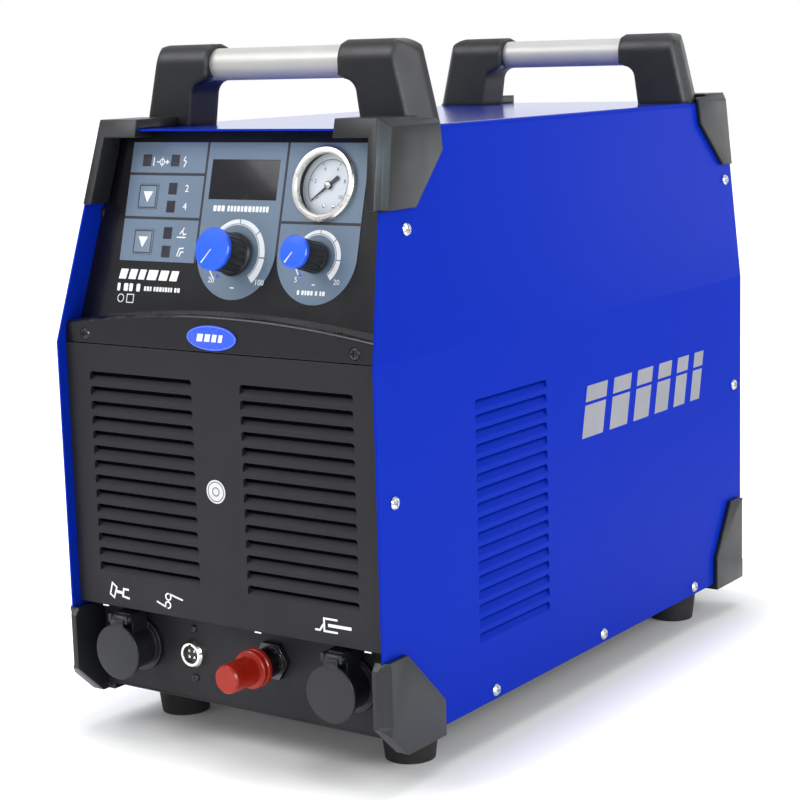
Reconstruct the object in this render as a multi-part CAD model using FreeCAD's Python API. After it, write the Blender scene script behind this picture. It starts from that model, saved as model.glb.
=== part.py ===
"""Plasma cutter power unit: sheet-metal case, guards, handles, controls, sockets, fan and internals.

Frame: millimetres, +X to the operator's right, +Y from the front panel to the rear, +Z up.
The origin is on the floor, under the middle of the whole unit's bounding box.
Heights of the case are measured from the lower edge of the cover, depths from its front edge.
"""
import FreeCAD, Part
import math
import os

V = FreeCAD.Vector

# ---- driving dimensions -------------------------------------------------------------------------
SHELL_DEPTH = 560.0        # cover, front edge to rear edge
WIDTH_LOW = 288.0          # outside width below the bend
WIDTH_TOP = 256.0          # outside width at the top
BEND_HEIGHT = 268.0        # height of the bend where the sides start to lean in
SHELL_HEIGHT = 422.0       # height of the cover's top face
FRONT_SETBACK = 41.0       # how far the top front edge sits behind the lower front edge
SHEET = 1.5                # sheet thickness
FOOT_HEIGHT = 32.0         # floor to the lower edge of the cover
FIT = 0.2                  # gap between neighbouring sheet parts
RUN = 0.05                 # radial clearance of everything that turns or slides

FRONT_REACH = 27.0         # the red cap stands this far in front of the cover
REAR_REACH = 47.0          # the mains cable bends this far behind it

PANEL_RECESS = 19.6        # control panel behind the sloping front edges, measured along Y
LOUVRE_RECESS = 8.0        # louvred panel and shoulder behind the lower front edges
CONNECTOR_RECESS = 28.0    # connector panel behind the lower front edges
LOUVRE_BOTTOM = 69.4       # lower edge of the louvred panel

TUBE_R = 11.7              # handle tube
TUBE_HEIGHT = 466.5        # handle tube axis above the cover's lower edge
TUBE_SETBACK = {"front": 100.5, "rear": 509.0}
POST_INNER = 79.0          # inner face of a handle post, from the middle plane
POST_OUTER = 127.0         # outer face of a handle post at its base

GUARD = 4.0                # how far the corner guards stand proud of the sides
GUARD_TOP = 7.0            # and of the top

GAUGE_AT = (71.4, 119.6)   # across, and up the sloping panel from the bend
CURRENT_AT = (0.6, 67.9)
FLOW_AT = (72.8, 68.2)
KEY_AT = {"mode_button": (-88.6, 108.2), "gas_test_button": (-88.0, 74.8)}
KEY_SIZE = 18.2
KEY_TRAVEL = 0.8
LAMPS_AT = [(-93.9, 135.1), (-66.7, 135.1), (-65.8, 114.4), (-65.8, 101.2), (-65.5, 81.8), (-65.3, 68.2)]
WINDOW_BOX = (-31.2, 30.4, 107.4, 136.3)   # display window: left, right, bottom, top on the panel

SOCKET_X = 99.0            # output sockets, from the middle plane
SOCKET_Z = 37.0            # height of the sockets above the cover's lower edge
SOCKET_BORE_R = 6.5        # 13 mm plug of a 50 mm2 welding connector
CONTROL_SOCKET_AT = (-48.0, 36.3)
TORCH_AT = (27.5, 43.0)

FAN_AT = (0.0, 215.0)      # fan axis: across, height above the cover's lower edge
FAN_R = 75.0
SWITCH_AT = (-70.0, 372.0)
GLAND_AT = (80.0, 62.0)
INLET_AT = (-80.0, 62.0)
SIDE_SCREWS = [(54, 354), (18.3, 173), (546, 354), (545, 173), (141, 7), (304, 7), (466, 7)]
SHOULDER_SCREWS_X = 122.5
FEET_AT = [(107.0, 82.0), (107.0, 496.0)]

# ---- derived places ------------------------------------------------------------------------------
Y0 = FRONT_REACH - (FRONT_REACH + SHELL_DEPTH + REAR_REACH) / 2   # front edge of the cover
Z0 = FOOT_HEIGHT                                                   # lower edge of the cover
Y_REAR = Y0 + SHELL_DEPTH
Z_BEND = Z0 + BEND_HEIGHT
Z_TOP = Z0 + SHELL_HEIGHT
SIDE_SLOPE = (WIDTH_LOW - WIDTH_TOP) / 2 / (SHELL_HEIGHT - BEND_HEIGHT)
FRONT_SLOPE = FRONT_SETBACK / (SHELL_HEIGHT - BEND_HEIGHT)
SIDE_LEAN = math.degrees(math.atan(SIDE_SLOPE))
PANEL_LEAN = math.degrees(math.atan(FRONT_SLOPE))
REAR_PANEL_Y = Y_REAR - 3.0        # outer face of the rear panel
INNER = WIDTH_LOW / 2 - SHEET      # inner face of the cover's lower sides

X_AXIS, Y_AXIS, Z_AXIS = V(1, 0, 0), V(0, 1, 0), V(0, 0, 1)


# ---- small helpers -------------------------------------------------------------------------------
def box(x0, x1, y0, y1, z0, z1):
    return Part.makeBox(x1 - x0, y1 - y0, z1 - z0, V(x0, y0, z0))


def rod(at, axis, radius, length):
    """Cylinder that starts at a point and runs along an axis."""
    return Part.makeCylinder(radius, length, at, axis)


def tube(at, axis, outer, inner, length):
    return rod(at, axis, outer, length).cut(rod(at, axis, inner, length))


def cone(at, axis, r0, r1, length):
    return Part.makeCone(r0, r1, length, at, axis)


def prism(points, direction):
    wire = Part.makePolygon(points + [points[0]])
    return Part.Face(wire).extrude(direction)


def prism_x(yz, x0, x1):
    return prism([V(x0, y, z) for y, z in yz], V(x1 - x0, 0, 0))


def prism_y(xz, y0, y1):
    return prism([V(x, y0, z) for x, z in xz], V(0, y1 - y0, 0))


def prism_z(xy, z0, z1):
    return prism([V(x, y, z0) for x, y in xy], V(0, 0, z1 - z0))


def hexagon(at, axis, across_flats, length):
    """Hexagonal bar along Y or along the local Z axis."""
    r = across_flats / math.sqrt(3)
    u = X_AXIS
    w = axis.cross(u)
    corners = [at + u * (r * math.cos(math.radians(60 * i))) + w * (r * math.sin(math.radians(60 * i)))
               for i in range(6)]
    return prism(corners, axis * length)


def frustum(low, high):
    """Solid between two rings of points whose sides are parallel."""
    faces = [Part.Face(Part.makePolygon(ring + [ring[0]])) for ring in (low, high)]
    for i in range(len(low)):
        j = (i + 1) % len(low)
        faces.append(Part.Face(Part.makePolygon([low[i], low[j], high[j], high[i], low[i]])))
    return Part.Solid(Part.Shell(faces))


def fuse(shapes):
    first = shapes[0]
    return first.fuse(shapes[1:]).removeSplitter() if len(shapes) > 1 else first


def mirror_x(shape):
    return shape.mirror(V(0, 0, 0), X_AXIS)


def both_sides(shape):
    return [shape, mirror_x(shape)]


def rounded(shape, radius, wanted):
    """Fillets the edges whose middle point passes a test."""
    edges = [e for e in shape.Edges if wanted(e.valueAt((e.FirstParameter + e.LastParameter) / 2))]
    return shape.makeFillet(radius, edges)


def revolve_profile(rz):
    """Solid of revolution about the local Z axis from (radius, height) points."""
    wire = Part.makePolygon([V(r, 0, z) for r, z in rz] + [V(rz[0][0], 0, rz[0][1])])
    return Part.Face(wire).revolve(V(0, 0, 0), Z_AXIS, 360)


def on_panel(shape):
    """Moves a shape from panel coordinates (across, up the slope, outwards) onto the control panel."""
    place = FreeCAD.Placement(V(0, Y0 + PANEL_RECESS, Z_BEND), FreeCAD.Rotation(X_AXIS, 90 - PANEL_LEAN))
    moved = shape.copy()
    moved.Placement = place.multiply(moved.Placement)
    return moved


def on_side(shape, depth, height, side=1):
    """Moves a shape built along local Z, outwards from the origin, onto the cover's side wall."""
    z = Z0 + height
    lean = SIDE_LEAN if z > Z_BEND else 0.0
    place = FreeCAD.Placement(V(half_width(z), Y0 + depth, z), FreeCAD.Rotation(Y_AXIS, 90 - lean))
    moved = shape.copy()
    moved.Placement = place.multiply(moved.Placement)
    return moved if side > 0 else mirror_x(moved)


def half_width(z):
    return WIDTH_LOW / 2 - max(0.0, z - Z_BEND) * SIDE_SLOPE


def front_y(z):
    return Y0 + max(0.0, z - Z_BEND) * FRONT_SLOPE


def envelope(side, top, front, rear, z_low, bevel=0.0):
    """Solid block with the cover's outline, grown by an amount on each side."""
    z_high = Z_TOP + top
    w_high = half_width(z_high - bevel) + side
    right = [(WIDTH_LOW / 2 + side, z_low), (WIDTH_LOW / 2 + side, Z_BEND), (w_high, z_high - bevel)]
    if bevel:
        right.append((w_high - bevel, z_high))
    outline = right + [(-x, z) for x, z in reversed(right)]
    block = prism_y(outline, Y0 - front, Y_REAR + rear)
    reach = 200.0
    ahead = [(Y0 - front - reach, z_low - 1), (Y0 - front, z_low - 1), (Y0 - front, Z_BEND),
             (Y0 - front + reach * FRONT_SLOPE, Z_BEND + reach), (Y0 - front - reach, Z_BEND + reach)]
    return block.cut(prism_x(ahead, -WIDTH_LOW, WIDTH_LOW))


# ---- louvres -------------------------------------------------------------------------------------
LOUVRE_HEIGHT = 7.6
LOUVRE_DEPTH = 5.0


def louvre_slot(length):
    """Opening of one louvre in local coordinates: X along it, Y into the case, Z up."""
    h = LOUVRE_HEIGHT / 2
    slot = box(-length / 2, length / 2, -1, SHEET * 3, -h, h)
    return rounded(slot, 2.6, lambda p: p.z > h - 0.1 and abs(p.x) > length / 2 - 0.1)


def louvre_blade(length, mouth):
    """Pressed-in blade of one louvre, closed at both ends, with an open mouth along its top."""
    h, d, t = LOUVRE_HEIGHT / 2, LOUVRE_DEPTH, 1.2
    top = h - mouth
    strip = [(0, -h - 0.3), (0, -h + 0.5), (d * 0.45, top - 1.6), (d - t, top), (d, top - 0.6),
             (d * 0.6, top - 2.9), (t, -h - 0.3)]
    cheek = [(0, -h), (0, h), (t, h), (d, top - 0.6), (t, -h)]
    blade = prism_x(strip, -length / 2 - t, length / 2 + t)
    ends = [prism_x(cheek, s * length / 2 + min(0, s) * t, s * length / 2 + max(0, s) * t) for s in (-1, 1)]
    return fuse([blade] + ends)


def with_louvres(plate, places, length, mouth, turn=0.0):
    """Cuts louvres into a plate. A turn about Z points their depth into the case."""
    slots = []
    blades = []
    for at in places:
        for made, store in ((louvre_slot(length), slots), (louvre_blade(length, mouth), blades)):
            made.Placement = FreeCAD.Placement(at, FreeCAD.Rotation(Z_AXIS, turn))
            store.append(made)
    return plate.cut(slots).fuse(blades)


# ---- case ----------------------------------------------------------------------------------------
SCREW_HOLE_R = 2.7
SIDE_LOUVRE_ROWS = 17
SIDE_LOUVRE_PITCH = 10.75
SIDE_LOUVRE_LOW = 51.0
SIDE_LOUVRE_LENGTH = 100.0
SIDE_LOUVRE_MIDDLE = 171.0
FRONT_LOUVRE_ROWS = 14
FRONT_LOUVRE_PITCH = 11.1
FRONT_LOUVRE_TOP = 243.0
FRONT_LOUVRE_LENGTH = 98.0
FRONT_LOUVRE_X = 71.0


def side_screw_holes():
    hole = rod(V(0, 0, -12), Z_AXIS, SCREW_HOLE_R, 24)
    return [on_side(hole, d, h, s) for d, h in SIDE_SCREWS for s in (1, -1)]


def make_cover_shell():
    outer = envelope(0, 0, 0, 0, Z0)
    outer = rounded(outer, 4.0, lambda p: abs(p.z - Z_TOP) < 0.1 and abs(abs(p.x) - half_width(Z_TOP)) < 0.1)
    w_low, w_top = WIDTH_LOW / 2 - SHEET, WIDTH_TOP / 2 - SHEET
    right = [(w_low, Z0 - 1), (w_low, Z_BEND), (w_top, Z_TOP - SHEET)]
    inside = prism_y(right + [(-x, z) for x, z in reversed(right)], Y0 - 1, Y_REAR + 1)
    inside = rounded(inside, 2.5, lambda p: abs(p.z - Z_TOP + SHEET) < 0.1 and abs(abs(p.x) - w_top) < 0.1)
    shell = outer.cut(inside).cut(side_screw_holes())
    heights = [Z0 + SIDE_LOUVRE_LOW + SIDE_LOUVRE_PITCH * i for i in range(SIDE_LOUVRE_ROWS)]
    for side, turn in ((1, 90), (-1, -90)):
        places = [V(side * WIDTH_LOW / 2, Y0 + SIDE_LOUVRE_MIDDLE, z) for z in heights]
        shell = with_louvres(shell, places, SIDE_LOUVRE_LENGTH, 1.2, turn)
    post_bolts = [rod(V(s * x, y, Z_TOP - 5), Z_AXIS, 3.2, 10)
                  for x, y in post_bolt_places() for s in (-1, 1)]
    toe = prism_x(lifted([(-10, -10), (-10, 27.2), (0, 18), (19.5, 0), (30.3, -10)]), -WIDTH_LOW, WIDTH_LOW)
    return shell.cut(post_bolts + [toe])


def make_base_tray():
    y_front, y_rear = Y0 + CONNECTOR_RECESS, REAR_PANEL_Y - SHEET - FIT
    x_out = INNER - FIT
    floor = box(-x_out, x_out, y_front, y_rear, Z0, Z0 + SHEET)
    flange = box(x_out - SHEET, x_out, y_front, y_rear, Z0, Z0 + 18)
    tray = fuse([floor] + both_sides(flange))
    foot_holes = [rod(V(s * x, Y0 + d, Z0 - 1), Z_AXIS, SCREW_HOLE_R, 5) for x, d in FEET_AT for s in (-1, 1)]
    vents = [box(x - 3, x + 3, Y0 + 230, Y0 + 330, Z0 - 1, Z0 + 3) for x in range(-60, 61, 15)]
    return tray.cut(side_screw_holes()).cut(foot_holes).cut(vents)


def side_tab(depth, height, back, ahead):
    """Flange that lies on the inside of the cover's side wall around a side screw."""
    gap = SHEET + FIT
    z = Z0 + height
    lean = SIDE_SLOPE if z > Z_BEND else 0.0
    reach = 9.0
    tab = [(half_width(z - reach) - gap, z - reach), (half_width(z + reach) - gap, z + reach),
           (half_width(z + reach) - gap - SHEET, z + reach), (half_width(z - reach) - gap - SHEET, z - reach)]
    return prism_y(tab, Y0 + depth - back, Y0 + depth + ahead)


def lining_outline(z_low):
    """Outline of a panel that fits inside the cover, with its upper corners taken off."""
    w_low, w_top = INNER - FIT, WIDTH_TOP / 2 - SHEET - FIT
    high = Z_TOP - SHEET - FIT
    right = [(w_low, z_low), (w_low, Z_BEND), (w_top + 2.0 * SIDE_SLOPE, high - 2.0), (w_top - 2.0, high)]
    return right + [(-x, z) for x, z in reversed(right)]


def make_rear_panel():
    plate = prism_y(lining_outline(Z0 + FIT), REAR_PANEL_Y - SHEET, REAR_PANEL_Y)
    back = REAR_PANEL_Y - Y0
    tabs = [side_tab(d, h, 9, back - d) for d, h in SIDE_SCREWS if d > SHELL_DEPTH / 2 and h > 20]
    panel = fuse([plate] + tabs + [mirror_x(t) for t in tabs])
    openings = [fan_opening(-5, 5)]
    openings.append(box(SWITCH_AT[0] - 27.2, SWITCH_AT[0] + 27.2, REAR_PANEL_Y - 5, REAR_PANEL_Y + 5,
                        Z0 + SWITCH_AT[1] - 23.2, Z0 + SWITCH_AT[1] + 23.2))
    for at, radius in ((GLAND_AT, 10.2), (INLET_AT, 7.2)):
        openings.append(rod(V(at[0], REAR_PANEL_Y - 5, Z0 + at[1]), Y_AXIS, radius, 10))
    for x, z in fan_screw_places():
        openings.append(rod(V(x, REAR_PANEL_Y - 5, z), Y_AXIS, 2.3, 10))
    for row in range(3):
        for x in range(-96, 97, 24):
            if abs(x - GLAND_AT[0]) > 30 and abs(x - INLET_AT[0]) > 30:
                openings.append(box(x - 8, x + 8, REAR_PANEL_Y - 5, REAR_PANEL_Y + 5,
                                    Z0 + 28 + 14 * row, Z0 + 33 + 14 * row))
    return panel.cut(side_screw_holes()).cut(openings)


def make_louvre_panel():
    y = Y0 + LOUVRE_RECESS
    x_out = INNER - FIT
    low, high = Z0 + LOUVRE_BOTTOM, Z_BEND - 0.8
    plate = box(-x_out, x_out, y, y + 2, low, high)
    lip = box(-x_out, x_out, y, Y0 + CONNECTOR_RECESS - FIT, low, low + SHEET)
    tab = side_tab(18.3, 173, 18.3 - LOUVRE_RECESS, 9)
    panel = fuse([plate, lip] + both_sides(tab)).cut(side_screw_holes())
    heights = [Z0 + FRONT_LOUVRE_TOP - FRONT_LOUVRE_PITCH * i for i in range(FRONT_LOUVRE_ROWS)]
    places = [V(x, y, z) for x in (-FRONT_LOUVRE_X, FRONT_LOUVRE_X) for z in heights]
    return with_louvres(panel, places, FRONT_LOUVRE_LENGTH, 3.4)


def make_connector_panel():
    y = Y0 + CONNECTOR_RECESS
    x_out = INNER - SHEET - 2 * FIT
    low, high = Z0 + SHEET + FIT, Z0 + LOUVRE_BOTTOM + 14
    plate = box(-x_out, x_out, y, y + SHEET, low, high)
    foot = box(-x_out, x_out, y, y + 16, low, low + SHEET)
    panel = fuse([plate, foot])
    holes = [rod(V(s * SOCKET_X, y - 5, Z0 + SOCKET_Z), Y_AXIS, 14.1, 10) for s in (-1, 1)]
    holes.append(rod(V(CONTROL_SOCKET_AT[0], y - 5, Z0 + CONTROL_SOCKET_AT[1]), Y_AXIS, 8.1, 10))
    holes.append(rod(V(TORCH_AT[0], y - 5, Z0 + TORCH_AT[1]), Y_AXIS, 9.1, 10))
    return panel.cut(holes)


SHOULDER_SIDE = 15.0       # height of the shoulder band at the sides
SHOULDER_MIDDLE = 26.0     # and in the middle, where it arches up


def arch_height(x):
    return SHOULDER_MIDDLE - (SHOULDER_MIDDLE - SHOULDER_SIDE) * (x / INNER) ** 2


def make_front_bezel():
    top = SHELL_HEIGHT - BEND_HEIGHT - SHEET - FIT
    y_low, y_high = Y0 + PANEL_RECESS, Y0 + PANEL_RECESS + top * FRONT_SLOPE
    slab = [(y_low, Z_BEND), (y_high, Z_BEND + top), (y_high + 3.1, Z_BEND + top), (y_low + 3.1, Z_BEND)]
    w_low = INNER - FIT
    inside = prism_y(lining_outline(Z_BEND), Y0, Y0 + 100)
    plate = prism_x(slab, -INNER, INNER).common(inside)
    front = Y0 + LOUVRE_RECESS
    arc = Part.Arc(V(-w_low, front, Z_BEND + SHOULDER_SIDE), V(0, front, Z_BEND + SHOULDER_MIDDLE),
                   V(w_low, front, Z_BEND + SHOULDER_SIDE)).toShape()
    sides = [Part.makeLine(V(w_low, front, Z_BEND + SHOULDER_SIDE), V(w_low, front, Z_BEND)),
             Part.makeLine(V(w_low, front, Z_BEND), V(-w_low, front, Z_BEND)),
             Part.makeLine(V(-w_low, front, Z_BEND), V(-w_low, front, Z_BEND + SHOULDER_SIDE))]
    shoulder = Part.Face(Part.Wire([arc] + sides)).extrude(V(0, PANEL_RECESS, 0))
    behind = [(y_low + 1, Z_BEND), (y_low + 1 + 60 * FRONT_SLOPE, Z_BEND + 60), (y_low + 60, Z_BEND + 60),
              (y_low + 60, Z_BEND)]
    shoulder = shoulder.cut(prism_x(behind, -WIDTH_LOW, WIDTH_LOW))
    shoulder = rounded(shoulder, 3.0, lambda p: abs(p.y - front) < 0.1 and p.z > Z_BEND + SHOULDER_SIDE + 2)
    pocket = box(-w_low + 3, w_low - 3, front + 3, Y0 + PANEL_RECESS + 1,
                 Z_BEND - 1, Z_BEND + SHOULDER_SIDE - 4)
    tab = side_tab(54, 354, 11, 9)
    body = fuse([plate, shoulder.cut(pocket).common(inside)] + both_sides(tab))
    holes = [rod(V(s * SHOULDER_SCREWS_X, front - 1, Z_BEND + 6.5), Y_AXIS, 2.2, 20) for s in (-1, 1)]
    sinks = [rod(V(s * SHOULDER_SCREWS_X, front - 1, Z_BEND + 6.5), Y_AXIS, 4.6, 2.5) for s in (-1, 1)]
    return body.cut(side_screw_holes()).cut(holes + sinks).cut(panel_openings(-6.0))


def make_chassis_divider():
    upright = box(-21.5, -20, Y0 + 75, Y0 + 490, Z0 + SHEET, Z0 + 378)
    foot = box(-45, -20, Y0 + 75, Y0 + 490, Z0 + SHEET, Z0 + 2 * SHEET)
    shelf = box(-20, 60, Y0 + 200, Y0 + 420, Z0 + 190, Z0 + 190 + SHEET)
    windows = [box(-25, -15, Y0 + y, Y0 + y + 60, Z0 + 300, Z0 + 350) for y in (120, 210, 300, 390)]
    return fuse([upright, foot, shelf]).cut(windows)


# ---- corner guards -------------------------------------------------------------------------------
ARM = 13.5                 # width of a guard's upright arm, seen from the front
HOOD_DROP = 6.0            # how far the hood hangs below the cover's top face
HOOD_INNER = 89.5          # inner end of the hood, from the middle plane
TOP_WING = [(-10, 368), (64, 368), (104, 404.5), (104, 440), (-10, 440)]


def lifted(points):
    """Outline points given as (depth, height) from the cover's front lower corner."""
    return [(Y0 + y, Z0 + z) for y, z in points]


def flipped(points):
    return [(SHELL_DEPTH - y, z) for y, z in points]


def corner_cut(height_low, height_high, outwards, across, along):
    """Wedge that takes a guard's long edge off between two heights, by an amount on each face."""
    rings = []
    for height in (height_low, height_high):
        z = Z0 + height
        x = half_width(z) + GUARD
        y = front_y(z) - GUARD if outwards < 0 else Y_REAR + GUARD
        a, b = V(x - across, y, z), V(x, y - outwards * along, z)
        rings.append([a + (a - b) * 0.4, b + (b - a) * 0.4, V(x + 8, y + outwards * 8, z)])
    return frustum(*rings)


def ease_corner(guard, low, high, flute_low, flute_high, outwards):
    """Takes the long edge off a guard over its whole height, a little deeper between two heights."""
    cuts = [corner_cut(low, high, outwards, 5.6, 6.9), corner_cut(flute_low, flute_high, outwards, 6.5, 8.0)]
    return guard.cut(cuts)


def top_guard(wing, window_y, slab, flute_way):
    """Right-hand guard of a top corner: side wing, top plate and the two arms on the end face."""
    region = prism_x(lifted(wing), HOOD_INNER, WIDTH_LOW)
    grown = envelope(GUARD, GUARD_TOP, GUARD, GUARD, Z0, bevel=6.0)
    skin = region.common(grown).cut(envelope(FIT, FIT, FIT, FIT, Z0))
    within = envelope(-SHEET - FIT, -SHEET - FIT, GUARD, GUARD, Z0, bevel=2.0)
    lining = region.common(grown).common(within).common(slab)
    z_low, z_high = Z0 + 300, Z_TOP - HOOD_DROP
    opening = prism_y([(0, z_low), (half_width(z_low) + GUARD - ARM, z_low),
                       (half_width(z_high) + GUARD - ARM, z_high), (0, z_high)], *window_y)
    guard = skin.fuse(lining).removeSplitter().cut(opening)
    return guard.cut(corner_cut(360.0, 440.0, flute_way, 6.5, 8.0))


def front_slab(depth):
    """Slanting slab just behind the cover's front edges, down to a depth."""
    reach = 220.0
    run = reach * FRONT_SLOPE
    points = [(Y0 - GUARD - 1, Z_BEND), (Y0 - GUARD - 1 + run, Z_BEND + reach),
              (Y0 + depth + run, Z_BEND + reach), (Y0 + depth, Z_BEND)]
    return prism_x(points, 0, WIDTH_LOW)


def make_front_top_guard():
    guard = top_guard(TOP_WING, (Y0 - 20, Y0 + 98), front_slab(16.0), -1)
    return guard.cut(post_footprint("front", 0.3))


def make_rear_top_guard():
    wing = flipped([(-10, 367), (21, 367.5), (56, 404), (56, 440), (-10, 440)])
    slab = box(0, WIDTH_LOW, REAR_PANEL_Y + FIT, Y_REAR + 10, Z0, Z_TOP + 20)
    guard = top_guard(wing, (REAR_PANEL_Y - 2, Y_REAR + 20), slab, 1)
    return guard.cut(post_footprint("rear", 0.3))


def foot_clearance():
    return [rod(V(x, Y0 + d, 0), Z_AXIS, 23.0, Z0 + 1) for x, d in FEET_AT]


def make_front_bottom_guard():
    wing = lifted([(-4, 19), (-4, 60), (0, 65.5), (24, 65.5), (69, 21), (69, -5), (22, -5)])
    block = prism_x(wing, 131, WIDTH_LOW / 2 + GUARD)
    inside = box(0, WIDTH_LOW / 2 + FIT, Y0 + CONNECTOR_RECESS - FIT, Y_REAR, Z0 - FIT, Z_BEND)
    recess = box(0, 137, Y0 - 20, Y0 + CONNECTOR_RECESS, Z0 - 10, Z_BEND)
    slot = lifted([(-FIT, 17.8), (19.3, -FIT), (100, -FIT), (100, 230), (-FIT, 230)])
    sheet = prism_x(slot, INNER - FIT, WIDTH_LOW / 2 + FIT)
    guard = block.cut([inside, recess, sheet] + foot_clearance())
    return ease_corner(guard, -8.0, 72.0, 20.0, 63.0, -1)


def make_rear_bottom_guard():
    wing = lifted(flipped([(-4, -5), (-4, 66), (8, 69.5), (27, 69.5), (55, 23.5), (55, -5)]))
    block = prism_x(wing, 122, WIDTH_LOW / 2 + GUARD)
    inside = box(0, WIDTH_LOW / 2 + FIT, Y0, Y_REAR + FIT, Z0 - FIT, Z_BEND)
    recess = box(0, 134, Y_REAR - 5, Y_REAR + 20, Z0 + 4, Z_BEND)
    guard = block.cut([inside, recess] + foot_clearance())
    return ease_corner(guard, -8.0, 72.0, 12.0, 66.0, 1)


# ---- handles -------------------------------------------------------------------------------------
SLEEVE_R = 15.0
POST_HALF = 16.3           # half depth of a post
SLEEVE_END = 60.0          # inner end of the sleeve round the tube
TUBE_END = 84.0


def handle_axis(which):
    return V(0, Y0 + TUBE_SETBACK[which], Z0 + TUBE_HEIGHT)


def post_footprint(which, grow):
    """Upright block over the whole footprint of a handle post, grown by a clearance."""
    y = Y0 + TUBE_SETBACK[which]
    return box(POST_INNER - grow, POST_OUTER + 0.8 + grow, y - POST_HALF - grow, y + POST_HALF + grow,
               Z_TOP - 1, Z_TOP + 30)


def post_bolt_places():
    return [(x, Y0 + d) for x in (88.0, 108.0) for d in TUBE_SETBACK.values()]


def make_post(which):
    """Right-hand handle post: a leaning upright that turns over into a sleeve round the tube."""
    axis = handle_axis(which)
    base, high = Z_TOP, axis.z + SLEEVE_R
    inner, outer = POST_INNER, POST_OUTER
    arc_out = Part.Arc(V(101, 0, high), V(111, 0, high - 4.5), V(116, 0, high - 15)).toShape()
    arc_in = Part.Arc(V(inner - 3.5, 0, base + 24), V(72.5, 0, base + 29.5), V(66, 0, axis.z - 12)).toShape()
    lines = [((116, high - 15), (outer, base)), ((outer, base), (inner, base)),
             ((inner, base), (inner - 3.5, base + 24))]
    ends = [((66, axis.z - 12), (SLEEVE_END, axis.z - 9)), ((SLEEVE_END, axis.z - 9), (SLEEVE_END, high - 3)),
            ((SLEEVE_END, high - 3), (SLEEVE_END + 3, high)), ((SLEEVE_END + 3, high), (101, high))]
    edges = [Part.makeLine(V(a[0], 0, a[1]), V(b[0], 0, b[1])) for a, b in lines + ends]
    wire = Part.Wire(Part.__sortEdges__(edges + [arc_out, arc_in]))
    front_view = Part.Face(wire).extrude(V(0, 60, 0))
    front_view.translate(V(0, axis.y - 30, 0))
    sides = box(50, 130, axis.y - POST_HALF, axis.y + POST_HALF, base, axis.z)
    dome = rod(V(50, axis.y, axis.z), X_AXIS, POST_HALF, 80)
    way = 1 if which == "front" else -1
    lean = (116 - outer) / (high - 15 - base)
    rings = []
    for z in (base - 1, high + 1):
        shift = lean * (z - base)
        face = outer + shift
        corners = [(40, -30), (face - 8, -30), (face - 8, -POST_HALF), (face + 1, 8), (face, 11),
                   (face - 4, 15.4), (face - 8, POST_HALF + 0.5), (40, 30)]
        ring = [V(x, axis.y + way * y, z) for x, y in corners]
        rings.append(Part.makePolygon(ring + [ring[0]]))
    plan = Part.makeLoft(rings, True, True)
    post = front_view.common(sides.fuse(dome)).common(plan)
    bore = rod(V(SLEEVE_END - 1, axis.y, axis.z), X_AXIS, TUBE_R + 0.1, TUBE_END + 0.5 - SLEEVE_END + 1)
    bolts = [rod(V(x, y, base - 1), Z_AXIS, 2.6, 21) for x, y in post_bolt_places() if abs(y - axis.y) < 1]
    return post.removeSplitter().cut([bore] + bolts)


def make_handle_tube(which):
    axis = handle_axis(which)
    return tube(V(-TUBE_END, axis.y, axis.z), X_AXIS, TUBE_R, TUBE_R - 1.6, 2 * TUBE_END)


def make_post_bolts():
    """M6 screws that hold the posts from inside the case."""
    bolts = []
    for x, y in post_bolt_places():
        head = hexagon(V(x, y, Z_TOP - SHEET - 4), Z_AXIS, 9.8, 4)
        shank = rod(V(x, y, Z_TOP - SHEET), Z_AXIS, 2.5, 18)
        bolts += both_sides(head.fuse(shank))
    return bolts


# ---- feet and screws -----------------------------------------------------------------------------
def make_rubber_feet():
    feet = []
    for x, depth in FEET_AT:
        at = V(x, Y0 + depth, 0)
        body = cone(at, Z_AXIS, 18.5, 21.5, 24.0).fuse(rod(at + V(0, 0, 24), Z_AXIS, 21.5, Z0 - 24))
        body = body.cut([rod(at, Z_AXIS, 6.0, 22.0), rod(at, Z_AXIS, SCREW_HOLE_R, Z0)])
        feet += both_sides(body)
    return feet


def pan_screw(length, shank_r=2.45):
    """Pan-head screw along local Z, with its head seat at zero height and a cross recess."""
    head = revolve_profile([(0, 0), (4.6, 0), (4.6, 0.9), (3.6, 2.2), (2.0, 2.8), (0, 2.9)])
    cross = [box(-2.4, 2.4, -0.5, 0.5, 1.4, 4), box(-0.5, 0.5, -2.4, 2.4, 1.4, 4)]
    return head.cut(cross).fuse(rod(V(0, 0, -length), Z_AXIS, shank_r, length))


def make_case_screws():
    screws = [on_side(pan_screw(9), d, h, s) for d, h in SIDE_SCREWS for s in (1, -1)]
    for x, depth in FEET_AT:
        screw = pan_screw(14)
        screw.Placement = FreeCAD.Placement(V(x, Y0 + depth, 22.0), FreeCAD.Rotation(X_AXIS, 180))
        screws += both_sides(screw)
    for s in (-1, 1):
        screw = pan_screw(9, 2.1)
        at = V(s * SHOULDER_SCREWS_X, Y0 + LOUVRE_RECESS + 1.5, Z_BEND + 6.5)
        screw.Placement = FreeCAD.Placement(at, FreeCAD.Rotation(X_AXIS, 90))
        screws.append(screw)
    return screws


# ---- control panel -------------------------------------------------------------------------------
OVERLAY = 0.5              # thickness of the printed overlay
PANEL_THICK = 3.0
LAMP_SIZE = (8.0, 8.6)
GAUGE_RING_R = 26.6
SHAFT_R = 3.0


def panel_box(u0, u1, v0, v1, n0, n1):
    return box(u0, u1, v0, v1, n0, n1)


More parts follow.
